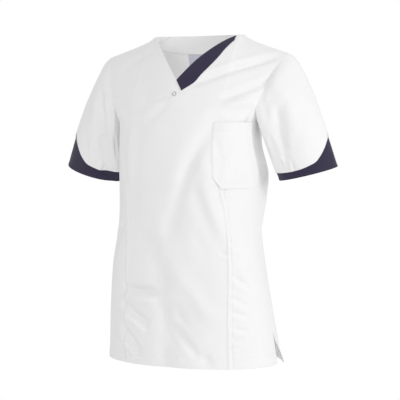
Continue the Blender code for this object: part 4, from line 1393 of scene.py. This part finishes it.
def make_snap(materials):
    """The stud's cap: profiles of radius and height turned about the cloth's normal.

    The ring's profile is a round bead, and the centre's is a low dome.
    """
    height = np.array([SNAP_HEIGHT])
    angle = angle_at(np.array([SNAP_X]), height)
    seat, normal = cloth(angle, height)[0], normals_of(cloth, angle, height)[0]
    side = np.cross([0.0, 0.0, 1.0], normal)
    side /= np.linalg.norm(side)
    turn = np.arange(SNAP_SIDES)[:, None] * 2 * np.pi / SNAP_SIDES
    out = np.cos(turn) * side + np.sin(turn) * np.cross(normal, side)

    def turned(radius, lift):
        radius, lift = radius[:, None, None] * SNAP_RADIUS, lift[:, None, None] * SNAP_THICKNESS
        return seat + out * radius + normal * lift

    bead = np.linspace(-0.25, 1.15, 22) * np.pi
    ring = turned(0.80 + 0.20 * np.cos(bead), np.maximum(0.52 + 0.48 * np.sin(bead), 0.02))
    dome = np.linspace(1, 0, 10)
    centre = turned(0.66 * dome, 0.48 + 0.24 * np.sqrt(1 - 0.96 * dome**2))
    number = np.arange(ring.shape[0] * SNAP_SIDES).reshape(-1, SNAP_SIDES)
    after = np.roll(number, -1, axis=1)

    def bands(low, high):
        return np.stack([number[low], after[low], after[high], number[high]], axis=-1).reshape(-1, 4).tolist()

    closing = np.arange(1, len(ring) + 1) % len(ring)
    ring_faces = bands(slice(None), closing)
    top = len(centre) - 1
    centre_faces = bands(slice(0, top - 1), slice(1, top)) + [number[0, ::-1].tolist()]
    pole = 0 * number[0] + top * SNAP_SIDES
    centre_faces += np.stack([number[top - 1], after[top - 1], pole], axis=-1).tolist()
    centre = centre.reshape(-1, 3)[: top * SNAP_SIDES + 1]
    for name, points, faces, material in (
        ("snap_ring", ring, ring_faces, materials["metal"]),
        ("snap_centre", centre, centre_faces, materials["pearl"]),
    ):
        piece = new_object(name, points, faces, material)
        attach(piece, "root")
        if name == "snap_ring":
            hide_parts("snap_cap")


def aim(thing, target):
    thing.rotation_euler = (Vector(target) - thing.location).to_track_quat("-Z", "Y").to_euler()


def make_camera():
    azimuth, elevation = np.radians(CAMERA_AZIMUTH), np.radians(CAMERA_ELEVATION)
    back = np.array(
        [np.sin(azimuth) * np.cos(elevation), -np.cos(azimuth) * np.cos(elevation), np.sin(elevation)]
    )
    camera = bpy.data.objects.new("camera", bpy.data.cameras.new("camera"))
    camera.data.lens = CAMERA_LENS
    camera.data.sensor_width = 36.0
    camera.location = np.array(CAMERA_TARGET) + CAMERA_DISTANCE * back
    aim(camera, CAMERA_TARGET)
    bpy.context.scene.collection.objects.link(camera)
    bpy.context.scene.camera = camera


def make_light(name, place, size, power, target=CAMERA_TARGET):
    lamp = bpy.data.lights.new(name, "AREA")
    lamp.shape = "DISK"
    lamp.size = size
    lamp.energy = power
    light = bpy.data.objects.new(name, lamp)
    light.location = place
    aim(light, target)
    bpy.context.scene.collection.objects.link(light)


def make_studio(materials):
    """A lamp at the viewer's right, two weak ones in front, one behind and a small one inside the neck.

    They stand in a pale world, which the camera sees as white, over a pale floor far below.
    """
    for lamp in LAMPS:
        make_light(*lamp)
    world = bpy.data.worlds.new("pale_world")
    world.use_nodes = True
    tree = world.node_tree
    light, seen = tree.nodes["Background"], tree.nodes.new("ShaderNodeBackground")
    for background, strength in ((light, WORLD_STRENGTH), (seen, 1.0)):
        background.inputs["Color"].default_value = (1, 1, 1, 1)
        background.inputs["Strength"].default_value = strength
    path, mix = tree.nodes.new("ShaderNodeLightPath"), tree.nodes.new("ShaderNodeMixShader")
    tree.links.new(path.outputs["Is Camera Ray"], mix.inputs[0])
    tree.links.new(light.outputs[0], mix.inputs[1])
    tree.links.new(seen.outputs[0], mix.inputs[2])
    tree.links.new(mix.outputs[0], tree.nodes["World Output"].inputs[0])
    bpy.context.scene.world = world
    turn = np.arange(FLOOR_SIDES) * 2 * np.pi / FLOOR_SIDES
    edge = np.stack([np.cos(turn), np.sin(turn), 0 * turn], axis=-1) * FLOOR_RADIUS
    edge[:, 2] = FLOOR_HEIGHT
    floor = new_object("floor", edge, [list(range(FLOOR_SIDES))], materials["floor"])
    bpy.context.scene.view_settings.view_transform = "Standard"


def main():
    materials = make_materials()
    make_camera()
    make_studio(materials)
    make_body(materials)
    make_sleeves(materials)
    make_neck(materials)
    make_pocket(materials)
    make_snap(materials)


main()
